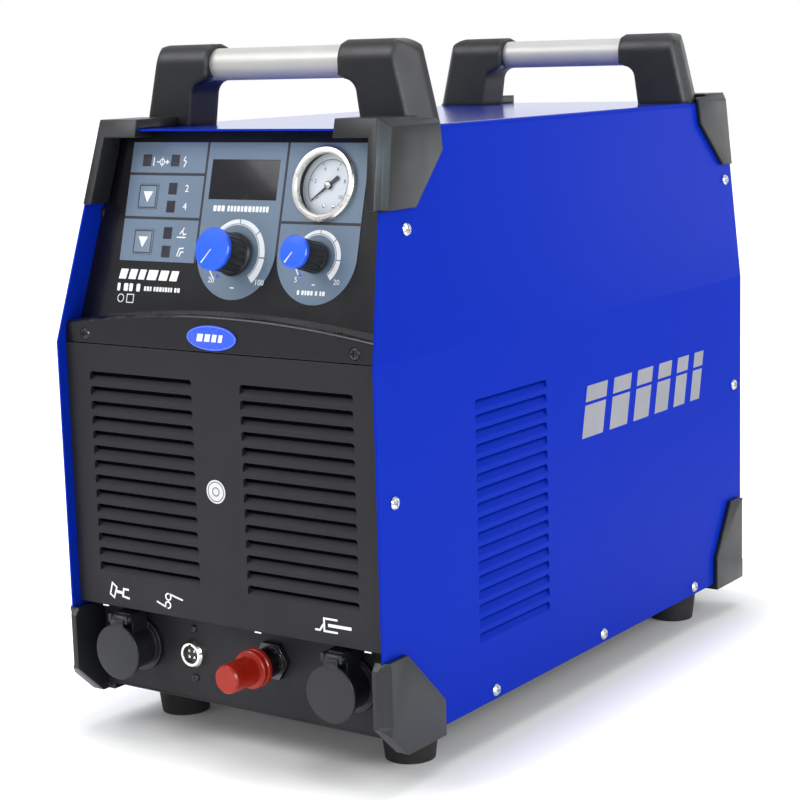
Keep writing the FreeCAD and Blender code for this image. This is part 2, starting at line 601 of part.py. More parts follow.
def panel_openings(depth):
    """Everything that passes through the control panel, as cutting solids in place."""
    cuts = [panel_box(WINDOW_BOX[0], WINDOW_BOX[1], WINDOW_BOX[2], WINDOW_BOX[3], depth, 6)]
    cuts += [panel_box(u - LAMP_SIZE[0] / 2, u + LAMP_SIZE[0] / 2, v - LAMP_SIZE[1] / 2, v + LAMP_SIZE[1] / 2,
                       depth, 6) for u, v in LAMPS_AT]
    half = KEY_SIZE / 2 + 0.15
    cuts += [panel_box(u - half, u + half, v - half, v + half, depth, 6) for u, v in KEY_AT.values()]
    cuts.append(rod(V(GAUGE_AT[0], GAUGE_AT[1], depth), Z_AXIS, 25.0, 6 - depth))
    cuts += [rod(V(u, v, depth), Z_AXIS, 4.7, 6 - depth) for u, v in (CURRENT_AT, FLOW_AT)]
    return [on_panel(c) for c in cuts]


def make_control_overlay():
    t = OVERLAY
    left = panel_box(-109.0, -35.5, 60.6, 148.6, 0, t)
    middle = panel_box(-35.5, 37.4, 71.2, 148.6, 0, t).fuse(rod(V(0, 71.2, 0), Z_AXIS, 35.5, t))
    right = panel_box(37.4, 106.0, 69.7, 148.6, 0, t).fuse(rod(V(71.7, 69.7, 0), Z_AXIS, 34.3, t))
    sheet = on_panel(fuse([left, middle, right]))
    return sheet.cut(panel_openings(-6.0))


def make_display_window():
    u0, u1, v0, v1 = WINDOW_BOX
    return on_panel(panel_box(u0 + 0.1, u1 - 0.1, v0 + 0.1, v1 - 0.1, -2.4, 0.2))


def make_indicator_lenses():
    a, b = LAMP_SIZE[0] / 2 - 0.1, LAMP_SIZE[1] / 2 - 0.1
    return [on_panel(panel_box(u - a, u + a, v - b, v + b, -2.8, 0.7)) for u, v in LAMPS_AT]


def make_key(name):
    u, v = KEY_AT[name]
    half = KEY_SIZE / 2
    cap = panel_box(u - half, u + half, v - half, v + half, -PANEL_THICK - 0.3, 1.3)
    wide = half + 2
    flange = panel_box(u - wide, u + wide, v - wide, v + wide, -PANEL_THICK - 1.5, -PANEL_THICK - 0.3)
    stem = rod(V(u, v, -PANEL_THICK - 5.5), Z_AXIS, 2.0, 4.5)
    return on_panel(fuse([cap, flange, stem]))


def make_control_board():
    board = panel_box(-108, 38, 45, 150, -17.0, -15.4)
    display = panel_box(-29, 28, 108.5, 135, -15.4, -4.6)
    pads = [rod(V(u, v, -15.4), Z_AXIS, 3.0, 5.6) for u, v in KEY_AT.values()]
    clear = [rod(V(GAUGE_AT[0], GAUGE_AT[1], -40), Z_AXIS, 27, 40)]
    return on_panel(fuse([board, display] + pads).cut(clear))


def make_potentiometers():
    made = []
    for u, v in (CURRENT_AT, FLOW_AT):
        can = rod(V(u, v, -PANEL_THICK - 9.5), Z_AXIS, 12.0, 9.0)
        bush = rod(V(u, v, -PANEL_THICK - 0.5), Z_AXIS, 4.5, 8.5)
        nut = hexagon(V(u, v, OVERLAY), Z_AXIS, 11.5, 1.8)
        bore = rod(V(u, v, -PANEL_THICK - 8.5), Z_AXIS, SHAFT_R + RUN, 20)
        made.append(on_panel(fuse([can, bush, nut]).cut(bore)))
    return made


def make_knob_shaft(at):
    return on_panel(rod(V(at[0], at[1], -PANEL_THICK - 8.0), Z_AXIS, SHAFT_R, 30.5))


KNOB_BASE = 3.6            # gap between the panel and a knob
CAP_THICK = 3.4            # blue cap on a knob's front, measured at its edge


def make_knob(at, radius, flare, face):
    """Black knob body with a flared foot and grip flutes, up to the given height above the panel."""
    base = KNOB_BASE
    profile = [(0, base), (radius + flare, base), (radius + flare, base + 1.2), (radius + 0.3, base + 2.8),
               (radius, face - 1.0), (radius - 0.8, face), (0, face)]
    body = revolve_profile(profile)
    flutes = []
    count = 18
    for i in range(count):
        angle = 2 * math.pi * i / count
        centre = V((radius + 0.75) * math.cos(angle), (radius + 0.75) * math.sin(angle), base + 4.5)
        flutes.append(rod(centre, Z_AXIS, 1.35, face))
    hollow = rod(V(0, 0, base - 1), Z_AXIS, radius - 3.2, 4.6)
    bore = rod(V(0, 0, 0), Z_AXIS, SHAFT_R, 19.5)
    body = body.cut(flutes + [hollow, bore])
    body.translate(V(at[0], at[1], 0))
    return on_panel(body)


def make_knob_cap(at, radius, face):
    """Blue cap with a slightly domed front and a groove for the white pointer line."""
    edge = face + CAP_THICK
    profile = [(0, face), (radius, face), (radius, edge - 0.8), (radius - 0.8, edge),
               (radius * 0.5, edge + 0.4), (0, edge + 0.5)]
    cap = revolve_profile(profile)
    groove = box(-0.55, 0.55, -radius * 0.86, -0.5, edge - 0.4, edge + 2)
    groove.rotate(V(0, 0, 0), Z_AXIS, -38)
    cap = cap.cut(groove)
    cap.translate(V(at[0], at[1], 0))
    return on_panel(cap)


# ---- pressure gauge ------------------------------------------------------------------------------
DIAL_AT = -5.0             # dial face below the panel plane
NEEDLE_SHAFT_R = 0.8


def gauge_local(shape):
    shape.translate(V(GAUGE_AT[0], GAUGE_AT[1], 0))
    return on_panel(shape)


def make_gauge_case():
    cup = rod(V(0, 0, -28), Z_AXIS, 24.8, 28 + OVERLAY).cut(rod(V(0, 0, -26.5), Z_AXIS, 23.3, 30))
    stem = rod(V(0, 0, -40), Z_AXIS, 6.5, 12.5)
    seat = tube(V(0, 0, DIAL_AT - 4.0), Z_AXIS, 23.4, 20.0, 3.0)
    movement = rod(V(0, 0, -27), Z_AXIS, 9.0, 27 + DIAL_AT - 4).cut(
        rod(V(0, 0, -14), Z_AXIS, NEEDLE_SHAFT_R + RUN, 14))
    return gauge_local(fuse([cup, stem, seat, movement]))


def make_gauge_ring():
    n = OVERLAY
    profile = [(21.6, n), (GAUGE_RING_R, n), (GAUGE_RING_R, n + 2.6), (GAUGE_RING_R - 1.2, n + 3.9),
               (23.0, n + 4.2), (21.6, n + 3.4)]
    return gauge_local(revolve_profile(profile))


def make_gauge_dial():
    disc = rod(V(0, 0, DIAL_AT - 1.0), Z_AXIS, 23.1, 1.0)
    return gauge_local(disc.cut(rod(V(0, 0, DIAL_AT - 2), Z_AXIS, NEEDLE_SHAFT_R + RUN, 3)))


def make_gauge_lens():
    return gauge_local(rod(V(0, 0, OVERLAY + 1.2), Z_AXIS, 21.5, 1.2))


def make_gauge_needle():
    """Needle at the zero stop: its tip points down and to the left."""
    z = DIAL_AT + 1.0
    pointer = prism_z([(-0.9, 0), (-0.25, 17.0), (0.25, 17.0), (0.9, 0)], z, z + 0.6)
    tail = prism_z([(-1.0, 0), (-1.5, -9.5), (1.5, -9.5), (1.0, 0)], z, z + 0.6)
    hub = rod(V(0, 0, z - 0.5), Z_AXIS, 2.8, 2.0)
    shaft = rod(V(0, 0, DIAL_AT - 8.5), Z_AXIS, NEEDLE_SHAFT_R, 9.5)
    needle = fuse([pointer, tail, hub, shaft])
    needle.rotate(V(0, 0, 0), Z_AXIS, 128)
    return gauge_local(needle)


def make_badge_plate():
    front = Y0 + LOUVRE_RECESS
    oval = Part.Ellipse(V(0, 0, 0), 22.5, 9.0).toShape()
    plate = Part.Face(Part.Wire([oval])).extrude(V(0, 0, 1.2))
    plate.rotate(V(0, 0, 0), X_AXIS, 90)
    plate.translate(V(-0.8, front, Z_BEND + 10.2))
    return plate


# ---- front connectors ----------------------------------------------------------------------------
FLAP_R = 21.0
FLAP_FACE = 1.4            # flap front stands this far in front of the cover's front edge
HINGE_UP = 25.0            # hinge axis above the socket axis
HINGE_Y = 4.0              # hinge axis behind the cover's front edge
PIN_R = 1.5
PLUG_DEPTH = 25.5


def socket_centre(y):
    return V(SOCKET_X, Y0 + y, Z0 + SOCKET_Z)


def make_socket():
    flange = rod(socket_centre(CONNECTOR_RECESS - 4), Y_AXIS, 20.5, 4)
    nose = rod(socket_centre(2.6), Y_AXIS, 16.5, CONNECTOR_RECESS - 4 - 2.6)
    rear = rod(socket_centre(CONNECTOR_RECESS), Y_AXIS, 14.0, 24)
    stud = rod(socket_centre(CONNECTOR_RECESS + 24), Y_AXIS, 5.0, 18)
    hinge_z = Z0 + SOCKET_Z + HINGE_UP
    arm = box(SOCKET_X - 9, SOCKET_X + 9, Y0 + HINGE_Y + 3.4, Y0 + CONNECTOR_RECESS - 4,
              Z0 + SOCKET_Z + 14, hinge_z + 3)
    lugs = [box(SOCKET_X + a, SOCKET_X + b, Y0 + HINGE_Y - 3, Y0 + HINGE_Y + 3.6, hinge_z - 3, hinge_z + 3)
            for a, b in ((-9, -6.2), (6.2, 9))]
    pin_hole = rod(V(SOCKET_X - 10, Y0 + HINGE_Y, hinge_z), X_AXIS, PIN_R, 20)
    bore = rod(socket_centre(2), Y_AXIS, SOCKET_BORE_R, PLUG_DEPTH)
    return fuse([flange, nose, rear, stud, arm] + lugs).cut([pin_hole, bore])


def make_socket_flap():
    hinge_z = Z0 + SOCKET_Z + HINGE_UP
    disc = rod(socket_centre(-FLAP_FACE), Y_AXIS, FLAP_R, 3.4)
    disc = rounded(disc, 1.0, lambda p: p.y < Y0 - FLAP_FACE + 0.1)
    ear = box(SOCKET_X - 6, SOCKET_X + 6, Y0 - FLAP_FACE + 0.8, Y0 + 2.0, Z0 + SOCKET_Z + 15, hinge_z)
    barrel = rod(V(SOCKET_X - 6, Y0 + HINGE_Y, hinge_z), X_AXIS, 3.0, 12)
    web = box(SOCKET_X - 6, SOCKET_X + 6, Y0 - FLAP_FACE + 0.8, Y0 + HINGE_Y, hinge_z - 3, hinge_z)
    bore = rod(V(SOCKET_X - 7, Y0 + HINGE_Y, hinge_z), X_AXIS, PIN_R + RUN, 14)
    return fuse([disc, ear, barrel, web]).cut(bore)


def make_flap_pin():
    return rod(V(SOCKET_X - 9, Y0 + HINGE_Y, Z0 + SOCKET_Z + HINGE_UP), X_AXIS, PIN_R, 18)


def make_control_socket():
    x, z = CONTROL_SOCKET_AT[0], Z0 + CONTROL_SOCKET_AT[1]
    y = Y0 + CONNECTOR_RECESS
    ring = cone(V(x, y - 5.5, z), Y_AXIS, 8.8, 10.2, 1.8).fuse(rod(V(x, y - 3.7, z), Y_AXIS, 10.2, 3.7))
    body = rod(V(x, y, z), Y_AXIS, 8.0, 20)
    nut = hexagon(V(x, y + SHEET, z), Y_AXIS, 19, 3)
    cavity = rod(V(x, y - 6, z), Y_AXIS, 6.9, 13)
    key_slot = box(x - 1.2, x + 1.2, y - 6, y + 6, z + 5, z + 7.8)
    pins = [rod(V(x + 3.4 * math.cos(a), y - 3, z + 3.4 * math.sin(a)), Y_AXIS, 0.8, 11)
            for a in (math.radians(45 + 90 * i) for i in range(4))]
    return fuse([ring, body, nut]).cut([cavity, key_slot]).fuse(pins).removeSplitter()


TORCH_STEM_R = 8.0
CAP_FLANGE = 8.0           # rear face of the red cap behind the cover's front edge


def torch_point(y):
    return V(TORCH_AT[0], Y0 + y, Z0 + TORCH_AT[1])


def make_torch_fitting():
    flange = hexagon(torch_point(CONNECTOR_RECESS - 5), Y_AXIS, 26, 5)
    collar = rod(torch_point(CAP_FLANGE + 1.2), Y_AXIS, 11.0, CONNECTOR_RECESS - 5 - CAP_FLANGE - 1.2)
    stem = rod(torch_point(-16), Y_AXIS, TORCH_STEM_R, CAP_FLANGE + 1.2 + 16)
    rear = rod(torch_point(CONNECTOR_RECESS), Y_AXIS, 9.0, 22)
    nut = hexagon(torch_point(CONNECTOR_RECESS + SHEET), Y_AXIS, 24, 5)
    gas_way = rod(torch_point(-17), Y_AXIS, 3.0, 70)
    return fuse([flange, collar, stem, rear, nut]).cut(gas_way)


def make_torch_cap():
    """Red push-on cap: flanged skirt and a smooth round nose."""
    length = FRONT_REACH + CAP_FLANGE
    profile = [(0, 0), (14.0, 0), (14.0, 3.0), (13.2, 3.9), (13.2, 5.1), (14.0, 6.0), (14.0, 8.4),
               (13.0, 9.4),
               (10.8, 9.8), (10.4, length - 1.4), (9.2, length), (0, length)]
    cap = revolve_profile(profile)
    cap = cap.cut(rod(V(0, 0, -1), Z_AXIS, TORCH_STEM_R + RUN, CAP_FLANGE + 16 + 1.4))
    cap.rotate(V(0, 0, 0), X_AXIS, 90)
    cap.translate(torch_point(CAP_FLANGE))
    return cap


# ---- rear fittings -------------------------------------------------------------------------------
FAN_FRAME_R = 80.0
FAN_FRAME_DEPTH = 50.0
FAN_SHAFT_R = 4.0


def fan_centre(y):
    return V(FAN_AT[0], REAR_PANEL_Y + y, Z0 + FAN_AT[1])


def fan_opening(y_from, y_to):
    return rod(fan_centre(y_from), Y_AXIS, FAN_R, y_to - y_from)


def fan_screw_places():
    return [(FAN_AT[0] + sx * 65.0, Z0 + FAN_AT[1] + sz * 65.0) for sx in (-1, 1) for sz in (-1, 1)]


def make_fan_frame():
    """Fan housing with its mounting ears, three spokes and the motor, which carries a bored bearing."""
    back = -SHEET - FAN_FRAME_DEPTH
    ring = tube(fan_centre(back), Y_AXIS, FAN_FRAME_R, FAN_R + 1.5, FAN_FRAME_DEPTH)
    plate = box(FAN_AT[0] - 74, FAN_AT[0] + 74, REAR_PANEL_Y - SHEET - 5, REAR_PANEL_Y - SHEET,
                Z0 + FAN_AT[1] - 74, Z0 + FAN_AT[1] + 74).cut(rod(fan_centre(-10), Y_AXIS, FAN_R + 1.5, 12))
    motor = rod(fan_centre(back), Y_AXIS, 30.0, 22)
    spokes = []
    for i in range(3):
        spoke = box(28, FAN_FRAME_R - 2, 0, 5, -4, 4)
        spoke.rotate(V(0, 0, 0), Y_AXIS, 90 + 120 * i)
        spoke.translate(fan_centre(back))
        spokes.append(spoke)
    bore = rod(fan_centre(back - 1), Y_AXIS, FAN_SHAFT_R + RUN, 30)
    holes = [rod(V(x, REAR_PANEL_Y - 10, z), Y_AXIS, 2.3, 10) for x, z in fan_screw_places()]
    return fuse([ring, plate, motor] + spokes).cut([bore] + holes)


def make_fan_rotor():
    """Hub, shaft and seven twisted blades."""
    back = -SHEET - FAN_FRAME_DEPTH
    hub = rod(fan_centre(back + 22.6), Y_AXIS, 28.0, 22)
    shaft = rod(fan_centre(back + 1), Y_AXIS, FAN_SHAFT_R, 24)
    blades = []
    for i in range(7):
        inner = blade_section(26.0, 32.0, 34.0)
        outer = blade_section(FAN_R - 2.5, 40.0, 24.0)
        blade = Part.makeLoft([inner, outer], True, True)
        blade.rotate(V(0, 0, 0), Y_AXIS, 360.0 * i / 7)
        blade.translate(fan_centre(back + 33.6))
        blades.append(blade)
    keep = rod(fan_centre(back + 22.6), Y_AXIS, FAN_R - 2.5, 22)
    return fuse([hub, shaft] + [b.common(keep) for b in blades])


def blade_section(radius, chord, pitch):
    """Section of a blade at a radius on the +Z side: a thin strip tilted by a pitch angle."""
    a = math.radians(pitch)
    along, across = V(math.cos(a), math.sin(a), 0), V(-math.sin(a), math.cos(a), 0)
    corners = [V(0, 0, radius) + along * (s * chord / 2) + across * (t * 0.9)
               for s, t in ((-1, -1), (1, -1), (1, 1), (-1, 1))]
    return Part.makePolygon(corners + [corners[0]])


def make_fan_guard():
    """Wire grille over the fan opening: five rings, four spokes and four screw eyes."""
    wire = 1.5
    rings = [Part.makeTorus(r, wire, fan_centre(3.4), Y_AXIS) for r in (20.0, 34.0, 48.0, 62.0, 76.0)]
    spokes = []
    for i in range(4):
        spoke = rod(V(18.9, 0, 0), X_AXIS, wire, 68.5)
        spoke.rotate(V(0, 0, 0), Y_AXIS, 45 + 90 * i)
        spoke.translate(fan_centre(wire + 0.2))
        spokes.append(spoke)
    eyes = [tube(V(x, REAR_PANEL_Y, z), Y_AXIS, 6.0, 2.3, 3.1) for x, z in fan_screw_places()]
    return fuse(rings + spokes + eyes)


LEVER_R = 7.0


def lever_axis(x):
    return V(x, REAR_PANEL_Y + 1.0, Z0 + SWITCH_AT[1])


def make_power_switch():
    """Three-pole breaker that stands through the rear panel, with a rocker well for its toggle."""
    x, z = SWITCH_AT[0], Z0 + SWITCH_AT[1]
    body = box(x - 27, x + 27, REAR_PANEL_Y - 58, REAR_PANEL_Y + 4, z - 23, z + 23)
    collar = box(x - 30, x + 30, REAR_PANEL_Y, REAR_PANEL_Y + 2, z - 26, z + 26)
    terminals = [box(x + o - 6, x + o + 6, REAR_PANEL_Y - 66, REAR_PANEL_Y - 58, z - 18, z + 18)
                 for o in (-17, 0, 17)]
    well = rod(lever_axis(x - 13), X_AXIS, LEVER_R + RUN, 26)
    mouth = box(x - 13, x + 13, REAR_PANEL_Y + 1, REAR_PANEL_Y + 10, z - LEVER_R - RUN, z + LEVER_R + RUN)
    return fuse([body, collar] + terminals).cut([well, mouth])


def make_switch_lever():
    x = SWITCH_AT[0]
    barrel = rod(lever_axis(x - 12.9), X_AXIS, LEVER_R, 25.8)
    tab = box(x - 12.9, x + 12.9, 0, 17.0, -2.6, 2.6)
    tab = rounded(tab, 1.6, lambda p: p.y > 16.9 and abs(abs(p.z) - 2.6) < 0.1)
    tab.rotate(V(0, 0, 0), X_AXIS, -24)
    tab.translate(lever_axis(0))
    return barrel.fuse(tab).removeSplitter()


CABLE_R = 7.5


def gland_point(y):
    return V(GLAND_AT[0], REAR_PANEL_Y + y, Z0 + GLAND_AT[1])


def make_cable_gland():
    base = hexagon(gland_point(0), Y_AXIS, 27, 5)
    dome = cone(gland_point(5), Y_AXIS, 13.0, 10.5, 9)
    thread = rod(gland_point(-12), Y_AXIS, 10.0, 12)
    nut = hexagon(gland_point(-SHEET - 5), Y_AXIS, 27, 5)
    return fuse([base, dome, thread, nut]).cut(rod(gland_point(-20), Y_AXIS, CABLE_R, 60))


def swept(points, bend, radius):
    """Round bar along a path of straight legs joined by arcs of one bend radius."""
    edges = []
    start = points[0]
    for i in range(1, len(points) - 1):
        into = (points[i] - points[i - 1]).normalize()
        out = (points[i + 1] - points[i]).normalize()
        turn = into.getAngle(out)
        trim = bend * math.tan(turn / 2)
        a, b = points[i] - into * trim, points[i] + out * trim
        to_middle = (out - into).normalize()
        middle = points[i] + to_middle * (bend / math.cos(turn / 2) - bend)
        edges += [Part.makeLine(start, a), Part.Arc(a, middle, b).toShape()]
        start = b
    edges.append(Part.makeLine(start, points[-1]))
    path = Part.Wire(edges)
    direction = (points[1] - points[0]).normalize()
    ring = Part.Wire([Part.Circle(points[0], direction, radius).toShape()])
    return path.makePipeShell([ring], True, False)


def make_mains_cable():
    """Stub of the mains lead: leaves the gland, bends down and stops above the floor."""
    run = REAR_REACH + 3.0 - CABLE_R
    end = gland_point(run) + V(0, 0, -Z0 - GLAND_AT[1] + 12)
    return swept([gland_point(-60), gland_point(run), end], 22.0, CABLE_R)


INLET_STEM_R = 5.0
INLET_STEM = 16.0


def inlet_point(y):
    return V(INLET_AT[0], REAR_PANEL_Y + y, Z0 + INLET_AT[1])


def make_air_inlet():
    base = hexagon(inlet_point(0), Y_AXIS, 20, 8)
    stem = rod(inlet_point(8), Y_AXIS, INLET_STEM_R, INLET_STEM)
    thread = rod(inlet_point(-16), Y_AXIS, 7.0, 16)
    nut = hexagon(inlet_point(-SHEET - 6), Y_AXIS, 20, 6)
    return fuse([base, stem, thread, nut]).cut(rod(inlet_point(-20), Y_AXIS, 2.5, 60))


# ---- inside --------------------------------------------------------------------------------------
def make_heatsink():
    base = box(-18, -10, Y0 + 210, Y0 + 410, Z0 + 60, Z0 + 180)
    fins = [box(-10, 40, Y0 + 210, Y0 + 410, Z0 + 60 + 9 * i, Z0 + 62.5 + 9 * i) for i in range(14)]
    return fuse([base] + fins)


def make_main_transformer():
    x, y, z = 60.0, Y0 + 135, Z0 + SHEET
    core = box(x - 45, x + 45, y - 32, y + 32, z, z + 84)
    windows = [box(x + a, x + b, y - 40, y + 40, z + 14, z + 70) for a, b in ((-31, -14), (14, 31))]
    core = core.cut(windows)
    coil = box(x - 30, x + 30, y - 46, y + 46, z + 15, z + 69)
    coil = coil.cut(box(x - 14, x + 14, y - 32, y + 32, z, z + 84))
    coil = rounded(coil, 10.0, lambda p: abs(abs(p.x - x) - 30) < 0.1 and abs(abs(p.y - y) - 46) < 0.1)
    return [core, coil.cut(core)]


def make_power_board():
    board = box(-52, -50.4, Y0 + 150, Y0 + 400, Z0 + 60, Z0 + 280)
    caps = [rod(V(-52.0, Y0 + y, Z0 + z), V(-1, 0, 0), 17.0, 55) for y in (190, 235) for z in (110, 155)]
    chokes = [tube(V(-52, Y0 + 330, Z0 + z), V(-1, 0, 0), 22.0, 9.0, 20) for z in (100, 160)]
    stands = [rod(V(-50.4, Y0 + y, Z0 + z), X_AXIS, 4.0, 28.9) for y in (165, 385) for z in (75, 265)]
    return [board.fuse(stands)] + caps + chokes


def make_solenoid_valve():
    at = V(-80, Y0 + 470, Z0 + 62)
    block = box(at.x - 14, at.x + 14, at.y - 16, at.y + 16, at.z - 12, at.z + 12)
    coil = box(at.x - 12, at.x + 12, at.y - 13, at.y + 13, at.z + 12, at.z + 48)
    foot = box(at.x - 10, at.x + 10, at.y - 12, at.y + 12, Z0 + SHEET, at.z - 12)
    ports = rod(at + V(0, -28, 0), Y_AXIS, 5.0, 56)
    return fuse([block, coil, foot, ports])


def make_air_hose():
    """Two hose runs: air inlet to valve, and valve to torch fitting."""
    z = Z0 + INLET_AT[1]
    supply = rod(V(-80, Y0 + 498, z), Y_AXIS, 4.0, REAR_PANEL_Y - 16 - (Y0 + 498))
    y_turn = Y0 + 62
    feed = swept([V(-80, Y0 + 442, z), V(-80, y_turn, z), V(TORCH_AT[0], y_turn, z),
                  V(TORCH_AT[0], y_turn, Z0 + TORCH_AT[1]), torch_point(CONNECTOR_RECESS + 22)], 8.0, 4.0)
    return [supply, feed]


# ---- export --------------------------------------------------------------------------------------
def build_nodes():
    right_guard_ft, right_guard_fb = make_front_top_guard(), make_front_bottom_guard()
    front_post, rear_post = make_post("front"), make_post("rear")
    flap = make_socket_flap()
    return {
        "cover_shell": make_cover_shell(),
        "base_tray": make_base_tray(),
        "rear_panel": make_rear_panel(),
        "louvre_panel": make_louvre_panel(),
        "connector_panel": make_connector_panel(),
        "front_bezel": make_front_bezel(),
        "chassis_divider": make_chassis_divider(),
        "front_top_guard_right": right_guard_ft,
        "front_top_guard_left": mirror_x(right_guard_ft),
        "front_bottom_guard_right": right_guard_fb,
        "front_bottom_guard_left": mirror_x(right_guard_fb),
        "rear_top_guards": both_sides(make_rear_top_guard()),
        "rear_bottom_guards": both_sides(make_rear_bottom_guard()),
        "front_post_right": front_post,
        "front_post_left": mirror_x(front_post),
        "rear_post_right": rear_post,
        "rear_post_left": mirror_x(rear_post),
        "front_handle_tube": make_handle_tube("front"),
        "rear_handle_tube": make_handle_tube("rear"),
        "rubber_feet": make_rubber_feet(),
        "case_screws": make_case_screws() + make_post_bolts(),
        "control_overlay": make_control_overlay(),
        "display_window": make_display_window(),
        "indicator_lenses": make_indicator_lenses(),
        "mode_button": make_key("mode_button"),
        "gas_test_button": make_key("gas_test_button"),
        "control_board": make_control_board(),
        "potentiometers": make_potentiometers(),
        "current_shaft": make_knob_shaft(CURRENT_AT),
        "current_knob": make_knob(CURRENT_AT, 14.2, 1.5, 24.6),
        "current_knob_cap": make_knob_cap(CURRENT_AT, 15.2, 24.6),
        "post_flow_shaft": make_knob_shaft(FLOW_AT),
        "post_flow_knob": make_knob(FLOW_AT, 10.8, 0.6, 25.6),
        "post_flow_knob_cap": make_knob_cap(FLOW_AT, 11.5, 25.6),
        "gauge_case": make_gauge_case(),
        "gauge_ring": make_gauge_ring(),
        "gauge_dial": make_gauge_dial(),
        "gauge_needle": make_gauge_needle(),
        "gauge_lens": make_gauge_lens(),
        "badge_plate": make_badge_plate(),
        "output_sockets": both_sides(make_socket()),
        "right_socket_flap": flap,
        "left_socket_flap": mirror_x(flap),
        "flap_hinge_pins": both_sides(make_flap_pin()),
        "control_socket": make_control_socket(),
        "torch_fitting": make_torch_fitting(),
        "torch_cap": make_torch_cap(),
        "fan_guard": make_fan_guard(),
        "fan_frame": make_fan_frame(),
        "fan_rotor": make_fan_rotor(),
        "power_switch": make_power_switch(),
        "switch_lever": make_switch_lever(),
        "cable_gland": make_cable_gland(),
        "mains_cable": make_mains_cable(),
        "air_inlet": make_air_inlet(),
        "heatsink": make_heatsink(),
        "main_transformer": make_main_transformer(),
        "power_board": make_power_board(),
        "solenoid_valve": make_solenoid_valve(),
        "air_hose": make_air_hose(),
    }


def main():
    os.makedirs("parts", exist_ok=True)
    for name, shape in build_nodes().items():
        whole = Part.makeCompound(shape) if isinstance(shape, list) else shape
        whole.exportStep(f"parts/{name}.step")


main()
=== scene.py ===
"""Looks of the plasma cutter power unit: finishes, printing, trim, floor, light and camera."""

import math
import random

import bmesh
import bpy
from mathutils import Matrix, Vector

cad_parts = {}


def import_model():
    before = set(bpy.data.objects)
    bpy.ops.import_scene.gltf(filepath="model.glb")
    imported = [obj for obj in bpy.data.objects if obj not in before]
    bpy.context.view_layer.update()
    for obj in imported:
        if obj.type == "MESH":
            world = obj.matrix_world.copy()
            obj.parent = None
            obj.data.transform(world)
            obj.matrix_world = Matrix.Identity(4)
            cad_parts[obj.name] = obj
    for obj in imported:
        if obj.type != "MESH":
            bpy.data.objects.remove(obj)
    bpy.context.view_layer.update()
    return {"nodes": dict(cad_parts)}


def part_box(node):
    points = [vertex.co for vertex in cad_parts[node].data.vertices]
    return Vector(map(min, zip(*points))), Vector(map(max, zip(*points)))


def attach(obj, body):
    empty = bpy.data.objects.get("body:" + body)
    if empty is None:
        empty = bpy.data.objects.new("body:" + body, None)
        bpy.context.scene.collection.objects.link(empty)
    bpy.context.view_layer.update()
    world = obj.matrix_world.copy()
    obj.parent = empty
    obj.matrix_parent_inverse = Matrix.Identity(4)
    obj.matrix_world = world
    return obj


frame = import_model()
NODES = frame["nodes"]
MM = 0.001

# ---- places on the case, all from the CAD frame --------------------------------------------------
COVER_LOW, COVER_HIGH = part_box("cover_shell")
BEND_HEIGHT = 0.268                      # bend of the cover above its lower edge
FRONT_SLOPE = 41.0 / 154.0               # lean of the control panel
PANEL_RECESS = 0.0196                    # control panel behind the cover's sloping front edges
FRONT_EDGE = COVER_LOW.y
Z_BEND = COVER_LOW.z + BEND_HEIGHT
LOUVRE_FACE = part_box("louvre_panel")[0].y
CONNECTOR_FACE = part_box("connector_panel")[0].y
SIDE_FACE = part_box("base_tray")[1].x + 0.0017    # outer face of the cover's lower sides


def surface_frame(origin, across, up, out):
    """Matrix from millimetres on a flat surface (across, up, outwards) to the row frame."""
    axes = Matrix((across, up, out)).transposed().to_4x4()
    axes.translation = Vector(origin)
    return axes @ Matrix.Scale(MM, 4)


LEAN = math.atan(FRONT_SLOPE)
PANEL = surface_frame((0, FRONT_EDGE + PANEL_RECESS, Z_BEND), (1, 0, 0),
                      (0, math.sin(LEAN), math.cos(LEAN)), (0, -math.cos(LEAN), math.sin(LEAN)))
FRONT = surface_frame((0, LOUVRE_FACE, 0), (1, 0, 0), (0, 0, 1), (0, -1, 0))
CONNECTORS = surface_frame((0, CONNECTOR_FACE, 0), (1, 0, 0), (0, 0, 1), (0, -1, 0))
RIGHT = surface_frame((SIDE_FACE, 0, 0), (0, 1, 0), (0, 0, 1), (1, 0, 0))
LEFT = surface_frame((-SIDE_FACE, 0, 0), (0, -1, 0), (0, 0, 1), (-1, 0, 0))

OVERLAY = (0.40, 0.58)                   # print on the overlay film: from, to above the panel plane
BARE = (-0.08, 0.08)                     # print straight on a face
CURRENT_AT = (0.6, 67.9)                 # across and up the panel, in millimetres, as are the next three
FLOW_AT = (72.8, 68.2)
GAUGE_AT = (71.4, 119.6)
KEY_AT = {"mode_key": (-88.6, 108.2), "gas_test_key": (-88.0, 74.8)}
LABEL_AT = (-3.4, 199.6)                 # round label between the louvre columns
GAUGE_START = 218.0                      # direction of the gauge's zero, in degrees
GAUGE_SWEEP = 256.0                      # and its full swing, clockwise
SIDE_SCREWS_FROM = SIDE_FACE - 0.014     # case screws farther out than this are on the sides


